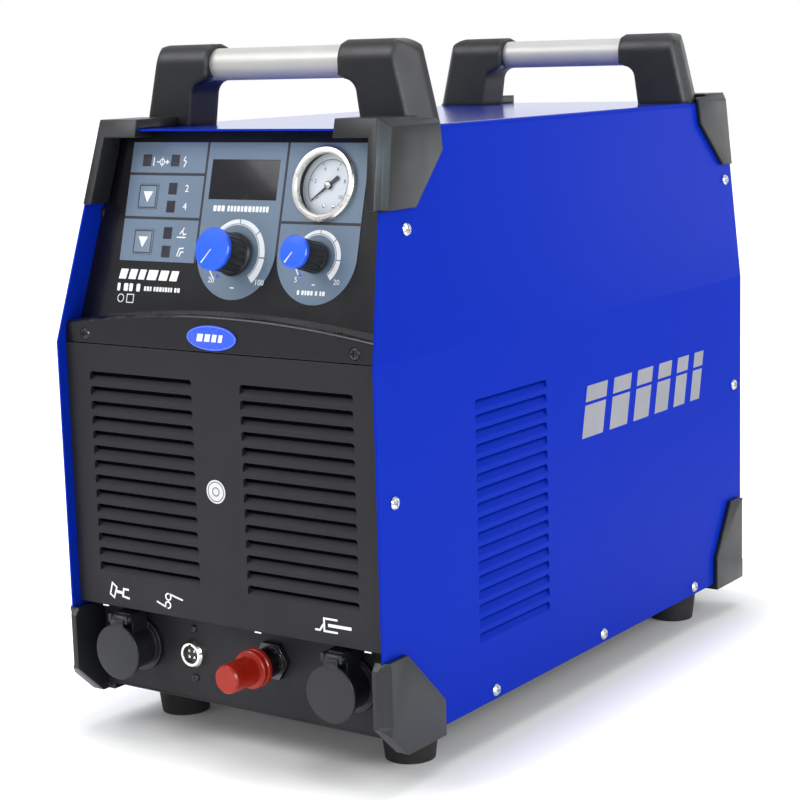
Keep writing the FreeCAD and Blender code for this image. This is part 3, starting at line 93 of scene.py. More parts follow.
# ---- flat shapes ---------------------------------------------------------------------------------
class Flat:
    """Thin closed solids on one surface, in millimetres, gathered into one piece."""

    def __init__(self, place, low, high):
        self.bm = bmesh.new()
        self.place = place
        self.low = low
        self.high = high

    def strip(self, left, right, closed=False):
        """Solid between two lines of points."""
        rows = []
        for a, b in zip(left, right):
            rows.append([self.bm.verts.new((p[0], p[1], n)) for n in (self.low, self.high) for p in (a, b)])
        count = len(rows)
        for i in range(count if closed else count - 1):
            a, b = rows[i], rows[(i + 1) % count]
            for j, k in ((0, 1), (1, 3), (3, 2), (2, 0)):
                self.bm.faces.new((a[j], a[k], b[k], b[j]))
        if not closed:
            for end in (rows[0], rows[-1]):
                self.bm.faces.new((end[0], end[1], end[3], end[2]))

    def plate(self, points):
        """Solid with a closed outline."""
        low = [self.bm.verts.new((x, y, self.low)) for x, y in points]
        high = [self.bm.verts.new((x, y, self.high)) for x, y in points]
        self.bm.faces.new(low)
        self.bm.faces.new(high)
        for i in range(len(points)):
            j = (i + 1) % len(points)
            self.bm.faces.new((low[i], low[j], high[j], high[i]))

    def line(self, points, width, closed=False):
        """Line of constant width with mitred corners."""
        left, right = [], []
        count = len(points)
        for i, point in enumerate(points):
            here = Vector(point)
            before = Vector(points[i - 1]) if closed or i else here * 2 - Vector(points[1])
            after = Vector(points[(i + 1) % count]) if closed or i < count - 1 else here * 2 - before
            a, b = (here - before).normalized(), (after - here).normalized()
            normal = Vector((-(a.y + b.y), a.x + b.x)).normalized()
            reach = width / 2 / max(0.5, normal.dot(Vector((-a.y, a.x))))
            left.append(here + normal * reach)
            right.append(here - normal * reach)
        self.strip(left, right, closed)

    def block(self, u, v, width, height, radius=0.5):
        """Rectangle with rounded corners about its centre."""
        points = []
        for sx, sy, start in ((1, 1, 0), (-1, 1, 90), (-1, -1, 180), (1, -1, 270)):
            for step in range(4):
                angle = math.radians(start + 30 * step)
                points.append((u + sx * (width / 2 - radius) + radius * math.cos(angle),
                               v + sy * (height / 2 - radius) + radius * math.sin(angle)))
        self.plate(points)

    def disc(self, u, v, radius):
        self.plate(circle(u, v, radius, 40))

    def ring(self, u, v, outer, inner):
        self.strip(circle(u, v, outer, 64), circle(u, v, inner, 64), True)

    def arc(self, u, v, outer, inner, start, stop):
        """Band between two angles. outer and inner are functions of the angle's share of the way."""
        steps = max(2, int(abs(stop - start) / 4))
        lines = ([], [])
        for i in range(steps + 1):
            share = i / steps
            angle = math.radians(start + (stop - start) * share)
            for radius, line in zip((outer(share), inner(share)), lines):
                line.append((u + radius * math.cos(angle), v + radius * math.sin(angle)))
        self.strip(*lines)

    def numeral(self, text, u, v, height):
        """Plain generic numerals centred on a point."""
        curve = bpy.data.curves.new("numeral", "FONT")
        curve.body = text
        curve.align_x = "CENTER"
        curve.align_y = "CENTER"
        curve.size = height * 1.38
        curve.resolution_u = 4
        curve.extrude = (self.high - self.low) / 2
        carrier = bpy.data.objects.new("numeral", curve)
        bpy.context.scene.collection.objects.link(carrier)
        bpy.context.view_layer.update()
        mesh = bpy.data.meshes.new_from_object(carrier.evaluated_get(bpy.context.evaluated_depsgraph_get()))
        mesh.transform(Matrix.Translation((u, v, (self.low + self.high) / 2)))
        self.bm.from_mesh(mesh)
        bpy.data.objects.remove(carrier)
        bpy.data.curves.remove(curve)
        bpy.data.meshes.remove(mesh)

    def caption(self, u0, u1, v, height, seed):
        """Row of small rounded blocks that stands for a printed caption without any lettering."""
        draw = random.Random(seed)
        at = u0
        while at < u1 - height * 0.4:
            width = min(height * draw.choice((0.5, 0.62, 0.7)), u1 - at)
            self.block(at + width / 2, v, width, height, 0.16 * height)
            at += width + height * draw.choice((0.2, 0.2, 0.2, 0.2, 0.6))

    def done(self, name, body, material):
        bmesh.ops.remove_doubles(self.bm, verts=self.bm.verts, dist=1e-5)
        bmesh.ops.recalc_face_normals(self.bm, faces=self.bm.faces)
        self.bm.transform(self.place)
        return piece(name, self.bm, body, material)


def angles(count):
    """Evenly spaced angles once round."""
    return [2 * math.pi * i / count for i in range(count)]


def circle(u, v, radius, points):
    return [(u + radius * math.cos(a), v + radius * math.sin(a)) for a in angles(points)]


def piece(name, bm, body, material):
    """Turns a bmesh in the row frame into an object that rides on a CAD body."""
    mesh = bpy.data.meshes.new(name)
    bm.to_mesh(mesh)
    bm.free()
    made = bpy.data.objects.new(name, mesh)
    bpy.context.scene.collection.objects.link(made)
    made.data.materials.append(material)
    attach(made, body)
    return made


def lathe(profile, steps=40):
    """Closed solid of revolution about local Z, from (radius, height) points between two axis points."""
    bm = bmesh.new()
    rings = []
    for r, z in profile:
        if r < 1e-6:
            rings.append([bm.verts.new((0, 0, z))])
        else:
            rings.append([bm.verts.new((x, y, z)) for x, y in circle(0, 0, r, steps)])
    for a, b in zip(rings, rings[1:]):
        for i in range(steps):
            j = (i + 1) % steps
            corners = [a[i % len(a)], a[j % len(a)], b[j % len(b)], b[i % len(b)]]
            bm.faces.new(list(dict.fromkeys(corners)))
    bmesh.ops.recalc_face_normals(bm, faces=bm.faces)
    return bm


# ---- materials -----------------------------------------------------------------------------------
def srgb(r, g, b):
    """Linear colour from 0 to 255 display values."""
    shares = [c / 255 for c in (r, g, b)]
    return tuple(((c + 0.055) / 1.055) ** 2.4 if c > 0.04045 else c / 12.92 for c in shares) + (1.0,)


class Nodes:
    """Small helper round the node tree of one material or world."""

    def __init__(self, owner):
        owner.use_nodes = True
        self.tree = owner.node_tree
        self.shader = self.tree.nodes.get("Principled BSDF")
        self.coords = self.new("TexCoord").outputs
        self.where = self.coords["Object"]

    def new(self, kind, **values):
        made = self.tree.nodes.new("ShaderNode" + kind)
        for key, value in values.items():
            if key in made.inputs:
                made.inputs[key].default_value = value
            else:
                setattr(made, key, value)
        return made

    def link(self, out, into):
        self.tree.links.new(out, into)

    def feed(self, slot, value):
        """Gives an input either a fixed value or another node's output."""
        if isinstance(value, bpy.types.NodeSocket):
            self.link(value, slot)
        else:
            slot.default_value = value

    def axes(self, vector):
        """The three components of a vector, by letter."""
        parts = self.new("SeparateXYZ")
        self.link(vector, parts.inputs["Vector"])
        return parts.outputs

    def noise(self, scale, detail=3.0, stretch=(1, 1, 1)):
        mapping = self.new("Mapping")
        mapping.inputs["Scale"].default_value = stretch
        self.link(self.where, mapping.inputs["Vector"])
        made = self.new("TexNoise", Scale=scale, Detail=detail)
        self.link(mapping.outputs["Vector"], made.inputs["Vector"])
        return made.outputs["Fac"]

    def ranged(self, value, low, high, start=0.3, stop=0.7):
        """Maps start..stop onto low..high."""
        made = self.new("MapRange")
        self.link(value, made.inputs["Value"])
        for key, number in (("From Min", start), ("From Max", stop), ("To Min", low), ("To Max", high)):
            self.feed(made.inputs[key], number)
        return made.outputs["Result"]

    def math(self, operation, a, b=0.0):
        made = self.new("Math", operation=operation)
        self.feed(made.inputs[0], a)
        self.feed(made.inputs[1], b)
        return made.outputs["Value"]

    def blend(self, share, a, b):
        made = self.new("Mix", data_type="RGBA")
        self.link(share, made.inputs["Factor"])
        colours = [slot for slot in made.inputs if slot.type == "RGBA"]
        self.feed(colours[0], a)
        self.feed(colours[1], b)
        return [slot for slot in made.outputs if slot.type == "RGBA"][0]


GRAIN_DEPTH = 0.0002                     # height of the finest surface texture


def finish(name, colour, rough, metal=0.0, ior=1.45, drift=0.06, drift_scale=11.0, patchy=0.06,
           patch_scale=35.0, grain=0.2, grain_scale=1600.0, stretch=(1, 1, 1), worn=None, worn_share=0.5,
           soften=0.5, coat=0.0, coat_rough=0.08):
    """Procedural finish: drifting colour, uneven gloss, surface grain, softened and lightly worn edges."""
    made = bpy.data.materials.new(name)
    n = Nodes(made)
    shader = n.shader
    value = n.new("HueSaturation")
    value.inputs["Color"].default_value = colour
    n.link(n.ranged(n.noise(drift_scale, 4.0), 1.0 - drift, 1.0 + drift), value.inputs["Value"])
    base = value.outputs["Color"]
    round_edge = n.new("Bevel", samples=4, Radius=soften * MM)
    normal = n.new("NewGeometry").outputs["Normal"]
    if worn:
        dot = n.new("VectorMath", operation="DOT_PRODUCT")
        n.link(round_edge.outputs["Normal"], dot.inputs[0])
        n.link(normal, dot.inputs[1])
        edge = n.ranged(dot.outputs["Value"], 1.0, 0.0, 0.80, 0.985)
        scuffs = n.ranged(n.noise(260.0, 5.0), 0.0, 1.0, 0.42, 0.62)
        share = n.math("MULTIPLY", n.math("MULTIPLY", edge, scuffs), worn_share)
        base = n.blend(share, base, worn)
    n.link(base, shader.inputs["Base Color"])
    gloss = n.ranged(n.noise(patch_scale, 4.0, stretch), max(0.02, rough - patchy), min(1.0, rough + patchy))
    n.link(gloss, shader.inputs["Roughness"])
    bump = n.new("Bump", Strength=grain, Distance=GRAIN_DEPTH)
    n.link(n.noise(grain_scale, 2.0, stretch), bump.inputs["Height"])
    n.link(round_edge.outputs["Normal"], bump.inputs["Normal"])
    n.link(bump.outputs["Normal"], shader.inputs["Normal"])
    shader.inputs["Metallic"].default_value = metal
    shader.inputs["IOR"].default_value = ior
    shader.inputs["Coat Weight"].default_value = coat
    shader.inputs["Coat Roughness"].default_value = coat_rough
    return made


def blue_paint():
    """Powder coat: saturated blue with faint orange peel. The polished top also has a clear sheen."""
    made = finish("blue_paint", srgb(9, 41, 165), 0.30, ior=1.08, drift=0.015, drift_scale=4.0, patchy=0.02,
                  patch_scale=18.0, grain=0.06, grain_scale=900.0, soften=0.8, coat_rough=0.14)
    n = Nodes(made)
    upward = n.axes(n.new("NewGeometry").outputs["Normal"])["Z"]
    n.link(n.ranged(upward, 0.0, 1.0, 0.9, 0.99), n.shader.inputs["Coat Weight"])
    return made


def moulded_black(name="moulded_black", soften=1.4):
    """Moulded guards and posts: spark-eroded texture with lightly polished edges."""
    return finish(name, srgb(27, 28, 31), 0.33, ior=1.42, drift=0.10, drift_scale=16.0, patchy=0.06,
                  grain=0.26, grain_scale=2300.0, worn=srgb(104, 104, 108), worn_share=0.35, soften=soften)


def bezel_black():
    """Control bezel: smoother and glossier than the guards."""
    return finish("bezel_black", srgb(18, 18, 21), 0.28, ior=1.36, drift=0.08, patchy=0.05, grain=0.12,
                  grain_scale=1800.0, worn=srgb(80, 80, 86), worn_share=0.3, soften=0.8, coat=0.15)


def dark_sheet():
    """Matt black powder coat on steel sheet."""
    return finish("dark_sheet", srgb(34, 33, 37), 0.50, ior=1.31, drift=0.07, drift_scale=14.0,
                  patchy=0.08, grain=0.40, grain_scale=1300.0, worn=srgb(84, 84, 90),
                  worn_share=0.35, soften=0.6)


def zinc_sheet():
    """Zinc-plated sheet with soft crystalline patches."""
    return finish("zinc_sheet", srgb(168, 172, 178), 0.38, metal=1.0, drift=0.12, drift_scale=60.0,
                  patchy=0.14, patch_scale=80.0, grain=0.15, worn=srgb(120, 118, 116), worn_share=0.3)


def brushed_tube():
    """Handle tube: satin aluminium, finely drawn along its length."""
    return finish("brushed_tube", srgb(184, 183, 179), 0.44, metal=0.35, drift=0.03, drift_scale=40.0,
                  patchy=0.06, patch_scale=420.0, grain=0.10, grain_scale=900.0, stretch=(0.03, 1, 1),
                  soften=0.3)


def foot_rubber():
    """Feet: dull rubber with dust on the rims."""
    return finish("foot_rubber", srgb(31, 30, 32), 0.80, drift=0.18, drift_scale=50.0, patchy=0.12, grain=0.5,
                  grain_scale=1200.0, worn=srgb(96, 92, 88), worn_share=0.6, soften=1.0)


def bright_screw(name="bright_screw"):
    """Nickel-plated screws."""
    return finish(name, srgb(205, 206, 210), 0.24, metal=1.0, drift=0.10, drift_scale=200.0,
                  patchy=0.10, patch_scale=300.0, grain=0.10, worn=srgb(120, 110, 100), worn_share=0.3)


def case_screw():
    """Screws of the case: nickel on the sides, blackened on the front and rear."""
    made = bright_screw("case_screw")
    n = Nodes(made)
    side = n.math("GREATER_THAN", n.math("ABSOLUTE", n.axes(n.where)["X"]), SIDE_SCREWS_FROM)
    base = n.shader.inputs["Base Color"]
    n.link(n.blend(side, srgb(34, 34, 38), base.links[0].from_socket), base)
    n.link(side, n.shader.inputs["Metallic"])
    return made


def overlay_film():
    """Printed polyester film: blue-grey with a fine satin texture."""
    return finish("overlay_film", srgb(96, 114, 134), 0.40, drift=0.05, drift_scale=22.0, patchy=0.05,
                  grain=0.22, grain_scale=3000.0, soften=0.2)


def key_film():
    """Key faces under the same film, a touch lighter."""
    return finish("key_film", srgb(107, 124, 143), 0.36, drift=0.05, drift_scale=60.0, patchy=0.05,
                  grain=0.22, grain_scale=3000.0, worn=srgb(160, 175, 190), worn_share=0.4, soften=0.5)


def smoked_window():
    """Smoked acrylic in front of the display."""
    return finish("smoked_window", srgb(29, 29, 34), 0.24, ior=1.30, drift=0.08, drift_scale=30.0,
                  patchy=0.05, patch_scale=90.0, grain=0.03, soften=0.3, coat=0.1)


def lamp_lens():
    """Unlit indicator lenses with a diffuse core."""
    return finish("lamp_lens", srgb(38, 38, 50), 0.22, drift=0.25, drift_scale=300.0, patchy=0.08,
                  grain=0.10, grain_scale=2500.0, worn=srgb(90, 92, 104), worn_share=0.4, soften=0.4)


def cap_blue():
    """Knob caps: bright satin blue."""
    return finish("cap_blue", srgb(20, 86, 232), 0.34, ior=1.36, drift=0.05, drift_scale=60.0,
                  patchy=0.06, grain=0.10, grain_scale=2600.0, worn=srgb(150, 185, 255),
                  worn_share=0.5, soften=0.5, coat=0.2)


def knob_black():
    """Knob bodies: fine-grained black with a soft sheen on the flutes."""
    return finish("knob_black", srgb(27, 27, 30), 0.38, drift=0.10, drift_scale=80.0, patchy=0.08, grain=0.25,
                  grain_scale=2600.0, worn=srgb(80, 80, 84), worn_share=0.4, soften=0.4)


def gauge_steel():
    """Gauge ring: polished stainless steel, slightly warm."""
    return finish("gauge_steel", srgb(226, 224, 219), 0.30, metal=0.9, drift=0.06, drift_scale=90.0,
                  patchy=0.08, patch_scale=160.0, grain=0.06, soften=0.4)


def dial_card():
    """Gauge dial: white enamel with a trace of ageing."""
    return finish("dial_card", srgb(212, 217, 226), 0.45, drift=0.03, drift_scale=60.0, patchy=0.05,
                  grain=0.06, soften=0.2)


def needle_paint():
    """Needle: matt dark paint with chipped edges."""
    return finish("needle_paint", srgb(52, 54, 62), 0.5, drift=0.12, drift_scale=300.0, grain=0.1,
                  worn=srgb(120, 122, 130), worn_share=0.5, soften=0.2)


def dark_plating():
    """Blackened nickel on the torch fitting."""
    return finish("dark_plating", srgb(74, 74, 78), 0.26, metal=1.0, drift=0.10, drift_scale=90.0,
                  patchy=0.10, patch_scale=120.0, grain=0.12, grain_scale=2000.0,
                  worn=srgb(190, 188, 184), worn_share=0.5)


def shade_foam():
    """Near-black open foam that paints the shade inside the case behind the louvres."""
    return finish("shade_foam", srgb(12, 12, 13), 0.95, ior=1.2, drift=0.3, drift_scale=500.0, grain=0.8,
                  grain_scale=900.0, soften=0.1)


def brass():
    """Turned brass with fine tool marks and dull patches."""
    return finish("brass", srgb(214, 176, 102), 0.28, metal=1.0, drift=0.12, drift_scale=90.0, patchy=0.12,
                  patch_scale=120.0, grain=0.14, grain_scale=2000.0, worn=srgb(120, 92, 50), worn_share=0.4)


def chrome():
    """Plated connector shell."""
    return finish("chrome", srgb(226, 226, 218), 0.16, metal=1.0, drift=0.10, drift_scale=120.0, patchy=0.06,
                  patch_scale=220.0, grain=0.05, worn=srgb(150, 140, 120), worn_share=0.3, soften=0.3)


def red_vinyl():
    """Soft red cap: translucent-looking vinyl with a waxy sheen."""
    made = finish("red_vinyl", srgb(150, 28, 12), 0.34, ior=1.30, drift=0.16, drift_scale=50.0, patchy=0.10,
                  patch_scale=90.0, grain=0.12, grain_scale=1400.0, worn=srgb(214, 108, 82), worn_share=0.25,
                  soften=0.9, coat=0.2, coat_rough=0.16)
    shader = made.node_tree.nodes["Principled BSDF"]
    shader.inputs["Subsurface Weight"].default_value = 0.12
    shader.inputs["Subsurface Radius"].default_value = (0.004, 0.001, 0.0006)
    return made


def circuit_green():
    """Solder-masked board: green with a faint lattice of tracks."""
    made = finish("circuit_green", srgb(24, 92, 54), 0.34, drift=0.10, drift_scale=40.0, grain=0.1, coat=0.3)
    n = Nodes(made)
    tracks = n.new("TexBrick", Scale=90.0, Mortar=(1, 1, 1, 1), Color1=(0, 0, 0, 1))
    tracks.inputs["Color2"].default_value = (0.15, 0.15, 0.15, 1)
    tracks.inputs["Mortar Size"].default_value = 0.04
    base = n.shader.inputs["Base Color"]
    n.link(n.blend(tracks.outputs["Color"], base.links[0].from_socket, srgb(70, 140, 84)), base)
    return made


def cable_rubber():
    """Mains cable sheath."""
    return finish("cable_rubber", srgb(34, 34, 36), 0.62, drift=0.12, drift_scale=60.0,
                  patchy=0.10, grain=0.3, grain_scale=1500.0, worn=srgb(90, 88, 86), worn_share=0.4)


def gloss_wire():
    """Satin black enamel on the grille wire."""
    return finish("gloss_wire", srgb(36, 36, 40), 0.34, drift=0.10, drift_scale=60.0, grain=0.12,
                  worn=srgb(150, 150, 154), worn_share=0.35, soften=0.4)


def core_steel():
    """Varnished laminated steel: fine stripes across the stack."""
    return finish("core_steel", srgb(104, 92, 84), 0.42, metal=0.7, drift=0.22, drift_scale=20.0, patchy=0.12,
                  grain=0.6, grain_scale=900.0, stretch=(1, 1, 0.05), worn=srgb(150, 120, 96))


def fin_aluminium():
    """Extruded heatsink, as drawn."""
    return finish("fin_aluminium", srgb(190, 192, 196), 0.36, metal=1.0, drift=0.08, drift_scale=40.0,
                  patchy=0.10, grain=0.25, grain_scale=800.0, stretch=(1, 0.04, 1))


def hose_blue():
    """Polyurethane air hose."""
    return finish("hose_blue", srgb(30, 96, 190), 0.28, drift=0.10, drift_scale=40.0, patchy=0.06, grain=0.08,
                  coat=0.3)


def print_ink(name, colour, rough=0.5):
    """Screen-printed ink: slightly uneven cover."""
    return finish(name, colour, rough, drift=0.05, drift_scale=160.0, patchy=0.06, patch_scale=300.0,
                  grain=0.15, grain_scale=3200.0, soften=0.1)


def foil_grey():
    """Metallic grey side graphic."""
    return finish("foil_grey", srgb(150, 151, 158), 0.44, metal=0.35, drift=0.06, drift_scale=24.0,
                  patchy=0.08, grain=0.10, grain_scale=2200.0, soften=0.1)


def pale_floor():
    """Near-white studio floor. It glows more away from the base, so no far edge shows; its weak glow near the
    base paints a soft shadow halo round it. Greyer in reflections.
    """
    made = finish("pale_floor", (0.93, 0.93, 0.93, 1.0), 0.9, ior=1.1, drift=0.01, grain=0.0, patchy=0.02)
    n = Nodes(made)
    at = n.axes(n.where)
    gap = n.new("CombineXYZ")
    for axis, half in (("X", COVER_HIGH.x), ("Y", COVER_HIGH.y)):
        beyond = n.math("SUBTRACT", n.math("ABSOLUTE", at[axis]), half)
        n.link(n.math("MAXIMUM", beyond, 0.0), gap.inputs[axis])
    length = n.new("VectorMath", operation="LENGTH")
    n.link(gap.outputs["Vector"], length.inputs[0])
    distance = length.outputs["Value"]
    # Painted shadow: the floor's glow fades to almost nothing within 11 cm of the base, darkening the floor
    # there on top of the rendered shadow.
    glow_past_painted_shadow = n.ranged(distance, 0.02, 0.6, 0.0, 0.11)
    glow_past_painted_shadow.node.interpolation_type = "SMOOTHSTEP"
    in_reflections = n.ranged(distance, 0.95, 0.42, 0.2, 1.0)
    tone = n.ranged(n.new("LightPath").outputs["Is Glossy Ray"], 1.0, in_reflections, 0.0, 1.0)
    n.link(n.math("MULTIPLY", tone, 0.94), n.shader.inputs["Base Color"])
    n.link(n.math("MULTIPLY", tone, glow_past_painted_shadow), n.shader.inputs["Emission Strength"])
    n.shader.inputs["Emission Color"].default_value = (1, 1, 1, 1)
    return made


def clear_glass():
    """Gauge lens: clear, with a faint film of dust and reflections that rise at grazing angles."""
    made = bpy.data.materials.new("clear_glass")
    n = Nodes(made)
    through = n.new("BsdfTransparent", Color=(0.995, 1.0, 1.0, 1))
    gloss = n.new("BsdfGlossy", Roughness=0.03)
    fresnel = n.new("Fresnel", IOR=1.16)
    dust = n.ranged(n.noise(420.0, 5.0), 0.0, 0.02, 0.5, 0.8)
    mix = n.new("MixShader")
    n.link(n.math("ADD", fresnel.outputs["Fac"], dust), mix.inputs[0])
    n.link(through.outputs[0], mix.inputs[1])
    n.link(gloss.outputs[0], mix.inputs[2])
    n.link(mix.outputs[0], n.tree.nodes["Material Output"].inputs["Surface"])
    n.tree.nodes.remove(n.shader)
    return made


BLACK = moulded_black()
POST = moulded_black("moulded_post", 5.0)
TUBE = brushed_tube()
BEZEL = bezel_black()
SHEET = dark_sheet()
ZINC = zinc_sheet()
SCREW = bright_screw()
FILM = overlay_film()
KEY = key_film()
KNOB = knob_black()
CAP = cap_blue()
WHITE_INK = print_ink("white_ink", srgb(226, 229, 234))
DARK_INK = print_ink("dark_ink", srgb(34, 37, 48))
BLUE_INK = print_ink("blue_ink", srgb(36, 60, 215))
GREY_INK = print_ink("grey_ink", srgb(84, 88, 98))
FOIL = foil_grey()
CHROME = chrome()
BRASS = brass()
WIRE = gloss_wire()
SHADE_FOAM = shade_foam()

NODE_FINISH = {
    "cover_shell": blue_paint(), "base_tray": SHEET, "rear_panel": SHEET, "louvre_panel": SHEET,
    "connector_panel": SHEET, "front_bezel": BEZEL, "chassis_divider": ZINC,
    "rubber_feet": foot_rubber(), "case_screws": case_screw(), "control_overlay": FILM,
    "display_window": smoked_window(), "indicator_lenses": lamp_lens(), "mode_button": KEY,
    "gas_test_button": KEY, "control_board": circuit_green(), "potentiometers": ZINC,
    "current_shaft": SCREW, "post_flow_shaft": SCREW, "current_knob": KNOB, "post_flow_knob": KNOB,
    "current_knob_cap": CAP, "post_flow_knob_cap": CAP, "gauge_ring": gauge_steel(),
    "gauge_dial": dial_card(), "gauge_needle": needle_paint(), "gauge_lens": clear_glass(),
    "badge_plate": print_ink("badge_enamel", srgb(44, 84, 232), 0.25), "flap_hinge_pins": SCREW,
    "control_socket": CHROME, "torch_fitting": dark_plating(), "torch_cap": red_vinyl(),
    "fan_guard": WIRE, "fan_rotor": KNOB, "mains_cable": cable_rubber(), "air_inlet": BRASS,
    "heatsink": fin_aluminium(), "main_transformer": core_steel(), "power_board": circuit_green(),
    "solenoid_valve": BRASS, "air_hose": hose_blue(),
}


def dress_nodes():
    """Gives every CAD node its finish. Anything not listed is moulded black plastic."""
    for name, node in NODES.items():
        material = NODE_FINISH.get(name, BLACK)
        if name.endswith("handle_tube"):
            material = TUBE
        elif "_post_" in name:
            material = POST
        node.data.materials.clear()
        node.data.materials.append(material)


dress_nodes()


EDGE_DEGREES = 28.0                      # edges sharper than this are rounded


def ease_edges(name, width):
    """Rounds a moulded part's edges with modifiers, leaving the CAD mesh itself alone."""
    node = NODES[name]
    weld = node.modifiers.new("weld", "WELD")
    weld.merge_threshold = 1e-4
    flat = node.modifiers.new("flat", "DECIMATE")
    flat.decimate_type = "DISSOLVE"
    flat.angle_limit = math.radians(0.4)
    bevel = node.modifiers.new("edges", "BEVEL")
    bevel.width = width * MM
    bevel.segments = 3
    bevel.limit_method = "ANGLE"
    bevel.angle_limit = math.radians(EDGE_DEGREES)
    bevel.use_clamp_overlap = False
    bevel.harden_normals = True
    node.data.polygons.foreach_set("use_smooth", [True] * len(node.data.polygons))


EASED = {                                # width of the rounding, in millimetres
    "left_socket_flap": 0.5, "right_socket_flap": 0.5, "mode_button": 0.5, "gas_test_button": 0.5,
    "cable_gland": 0.4, "power_switch": 0.4, "switch_lever": 0.3, "badge_plate": 0.4, "display_window": 0.2,
    "front_top_guard_right": 0.6, "front_top_guard_left": 0.6, "front_bottom_guard_right": 0.16,
    "front_bottom_guard_left": 0.16, "rear_top_guards": 0.6, "rear_bottom_guards": 0.5,
}
for eased_node, eased_width in EASED.items():
    ease_edges(eased_node, eased_width)


# ---- printing on the control panel ---------------------------------------------------------------
SCALE_START, SCALE_STOP = 227.0, -49.0


def scale_band(flat, at, outer, thin, thick):
    """Dial scale: a band that grows clockwise, cut by five gaps, with a fine line inside it."""
    parts = 6
    for i in range(parts):
        gap = 1.1
        start = SCALE_START + (SCALE_STOP - SCALE_START) * i / parts - (gap if i else 0)
        stop = SCALE_START + (SCALE_STOP - SCALE_START) * (i + 1) / parts + (gap if i < parts - 1 else 0)
        a, b = i / parts, (i + 1) / parts
        flat.arc(at[0], at[1], lambda s: outer,
                 lambda s: outer - thin - (thick - thin) * (a + (b - a) * s), start, stop)
    flat.arc(at[0], at[1], lambda s: outer - thin - (thick - thin) * s - 0.7,
             lambda s: outer - thin - (thick - thin) * s - 1.2, SCALE_START - 20, SCALE_STOP)


def lamp_symbols(flat):
    """Small symbols beside the indicator lamps."""
    flat.block(-87.3, 134.2, 1.1, 6.4, 0.3)
    flat.line([(-84.6, 134.0), (-81.6, 134.0)], 0.9)
    flat.ring(-79.2, 134.0, 2.5, 1.7)
    flat.line([(-79.2, 137.6), (-79.2, 130.4)], 0.7)
    flat.line([(-76.7, 134.0), (-74.8, 134.0)], 0.9)
    flat.plate([(-74.9, 135.9), (-74.9, 132.1), (-72.4, 134.0)])
    flat.line([(-57.2, 138.2), (-58.6, 135.4), (-56.2, 134.4), (-58.0, 130.4)], 0.9)
    flat.numeral("2", -52.4, 114.5, 5.4)
    flat.numeral("4", -52.4, 101.3, 5.4)
    flat.line([(-56.4, 79.0), (-48.0, 79.0)], 0.9)
    flat.line([(-54.0, 81.2), (-51.4, 84.2), (-50.6, 81.0), (-47.8, 81.6)], 0.9)
    flat.line([(-51.4, 84.2), (-50.2, 86.0)], 0.9)
    flat.line([(-54.4, 65.0), (-52.6, 70.8), (-48.6, 71.2)], 0.9)
    flat.line([(-52.2, 64.8), (-51.0, 68.2), (-48.4, 68.4)], 0.9)


def panel_print():
    white = Flat(PANEL, *OVERLAY)
    lamp_symbols(white)
    white.caption(-25.4, 25.6, 100.9, 4.2, 5)
    scale_band(white, CURRENT_AT, 25.6, 0.8, 5.4)
    scale_band(white, FLOW_AT, 19.6, 0.7, 4.2)
    white.numeral("20", -19.4, 49.2, 4.2)
    white.numeral("100", 24.2, 49.0, 4.2)
    white.block(0.4, 44.4, 3.6, 0.9, 0.4)
    white.numeral("5", 56.2, 52.4, 3.9)
    white.numeral("20", 91.2, 52.0, 3.9)
    white.block(71.9, 49.6, 2.8, 0.8, 0.35)
    white.caption(58.6, 85.4, 43.8, 3.2, 9)
    white.done("panel_print_white", "housing", WHITE_INK)

    dark = Flat(PANEL, *OVERLAY)
    dark.block(-36.5, 104.6, 2.0, 88.2, 0.2)
    dark.block(36.4, 108.4, 2.0, 80.6, 0.2)
    dark.block(-73.3, 125.0, 71.4, 2.0, 0.2)
    dark.block(-73.3, 92.5, 71.4, 2.0, 0.2)
    dark.block(71.7, 92.2, 68.4, 2.0, 0.2)
    dark.done("panel_print_dark", "housing", DARK_INK)

    blue = Flat(PANEL, *OVERLAY)
    blue.disc(CURRENT_AT[0] - 14.6, CURRENT_AT[1] - 15.6, 1.3)
    blue.disc(FLOW_AT[0] - 13.6, FLOW_AT[1] - 12.6, 1.2)
    blue.done("panel_print_blue", "housing", BLUE_INK)


def bezel_print():
    """Plain slanted bars and blocks low on the left of the bezel."""
    flat = Flat(PANEL, *BARE)
    slanted_bars(flat, -108.0, 46.9, 7.4, (7.0, 7.0, 6.0, 9.0, 8.0, 7.0), 2.4, 1.8)
    flat.caption(-108.2, -85.0, 40.8, 5.8, 3)
    flat.caption(-82.0, -47.0, 40.4, 3.4, 7)
    flat.ring(-103.6, 32.6, 3.2, 2.5)
    flat.line([(-97.6, 29.6), (-91.2, 29.6), (-91.2, 35.6), (-97.6, 35.6)], 0.7, True)
    flat.done("bezel_print_white", "housing", WHITE_INK)


def slanted_bars(flat, u, v, height, widths, gap, lean):
    """Row of leaning bars: a plain decorative motif."""
    for width in widths:
        flat.plate([(u, v), (u + width, v), (u + width + lean, v + height), (u + lean, v + height)])
        u += width + gap


def key_marks():
    """Dark frame and white arrow on each key. They move with the key."""
    for body, (u, v) in KEY_AT.items():
        frame_line = Flat(PANEL, 1.2, 1.36)
        corners = ((-8.1, -8.1), (8.1, -8.1), (8.1, 8.1), (-8.1, 8.1))
        frame_line.line([(u + du, v + dv) for du, dv in corners], 0.8, True)
        frame_line.done(body + "_frame", body, DARK_INK)
        arrow = Flat(PANEL, 1.2, 1.38)
        arrow.plate([(u - 4.3, v + 3.7), (u + 0.2, v - 4.3), (u + 4.7, v + 3.7)])
        arrow.done(body + "_arrow", body, WHITE_INK)


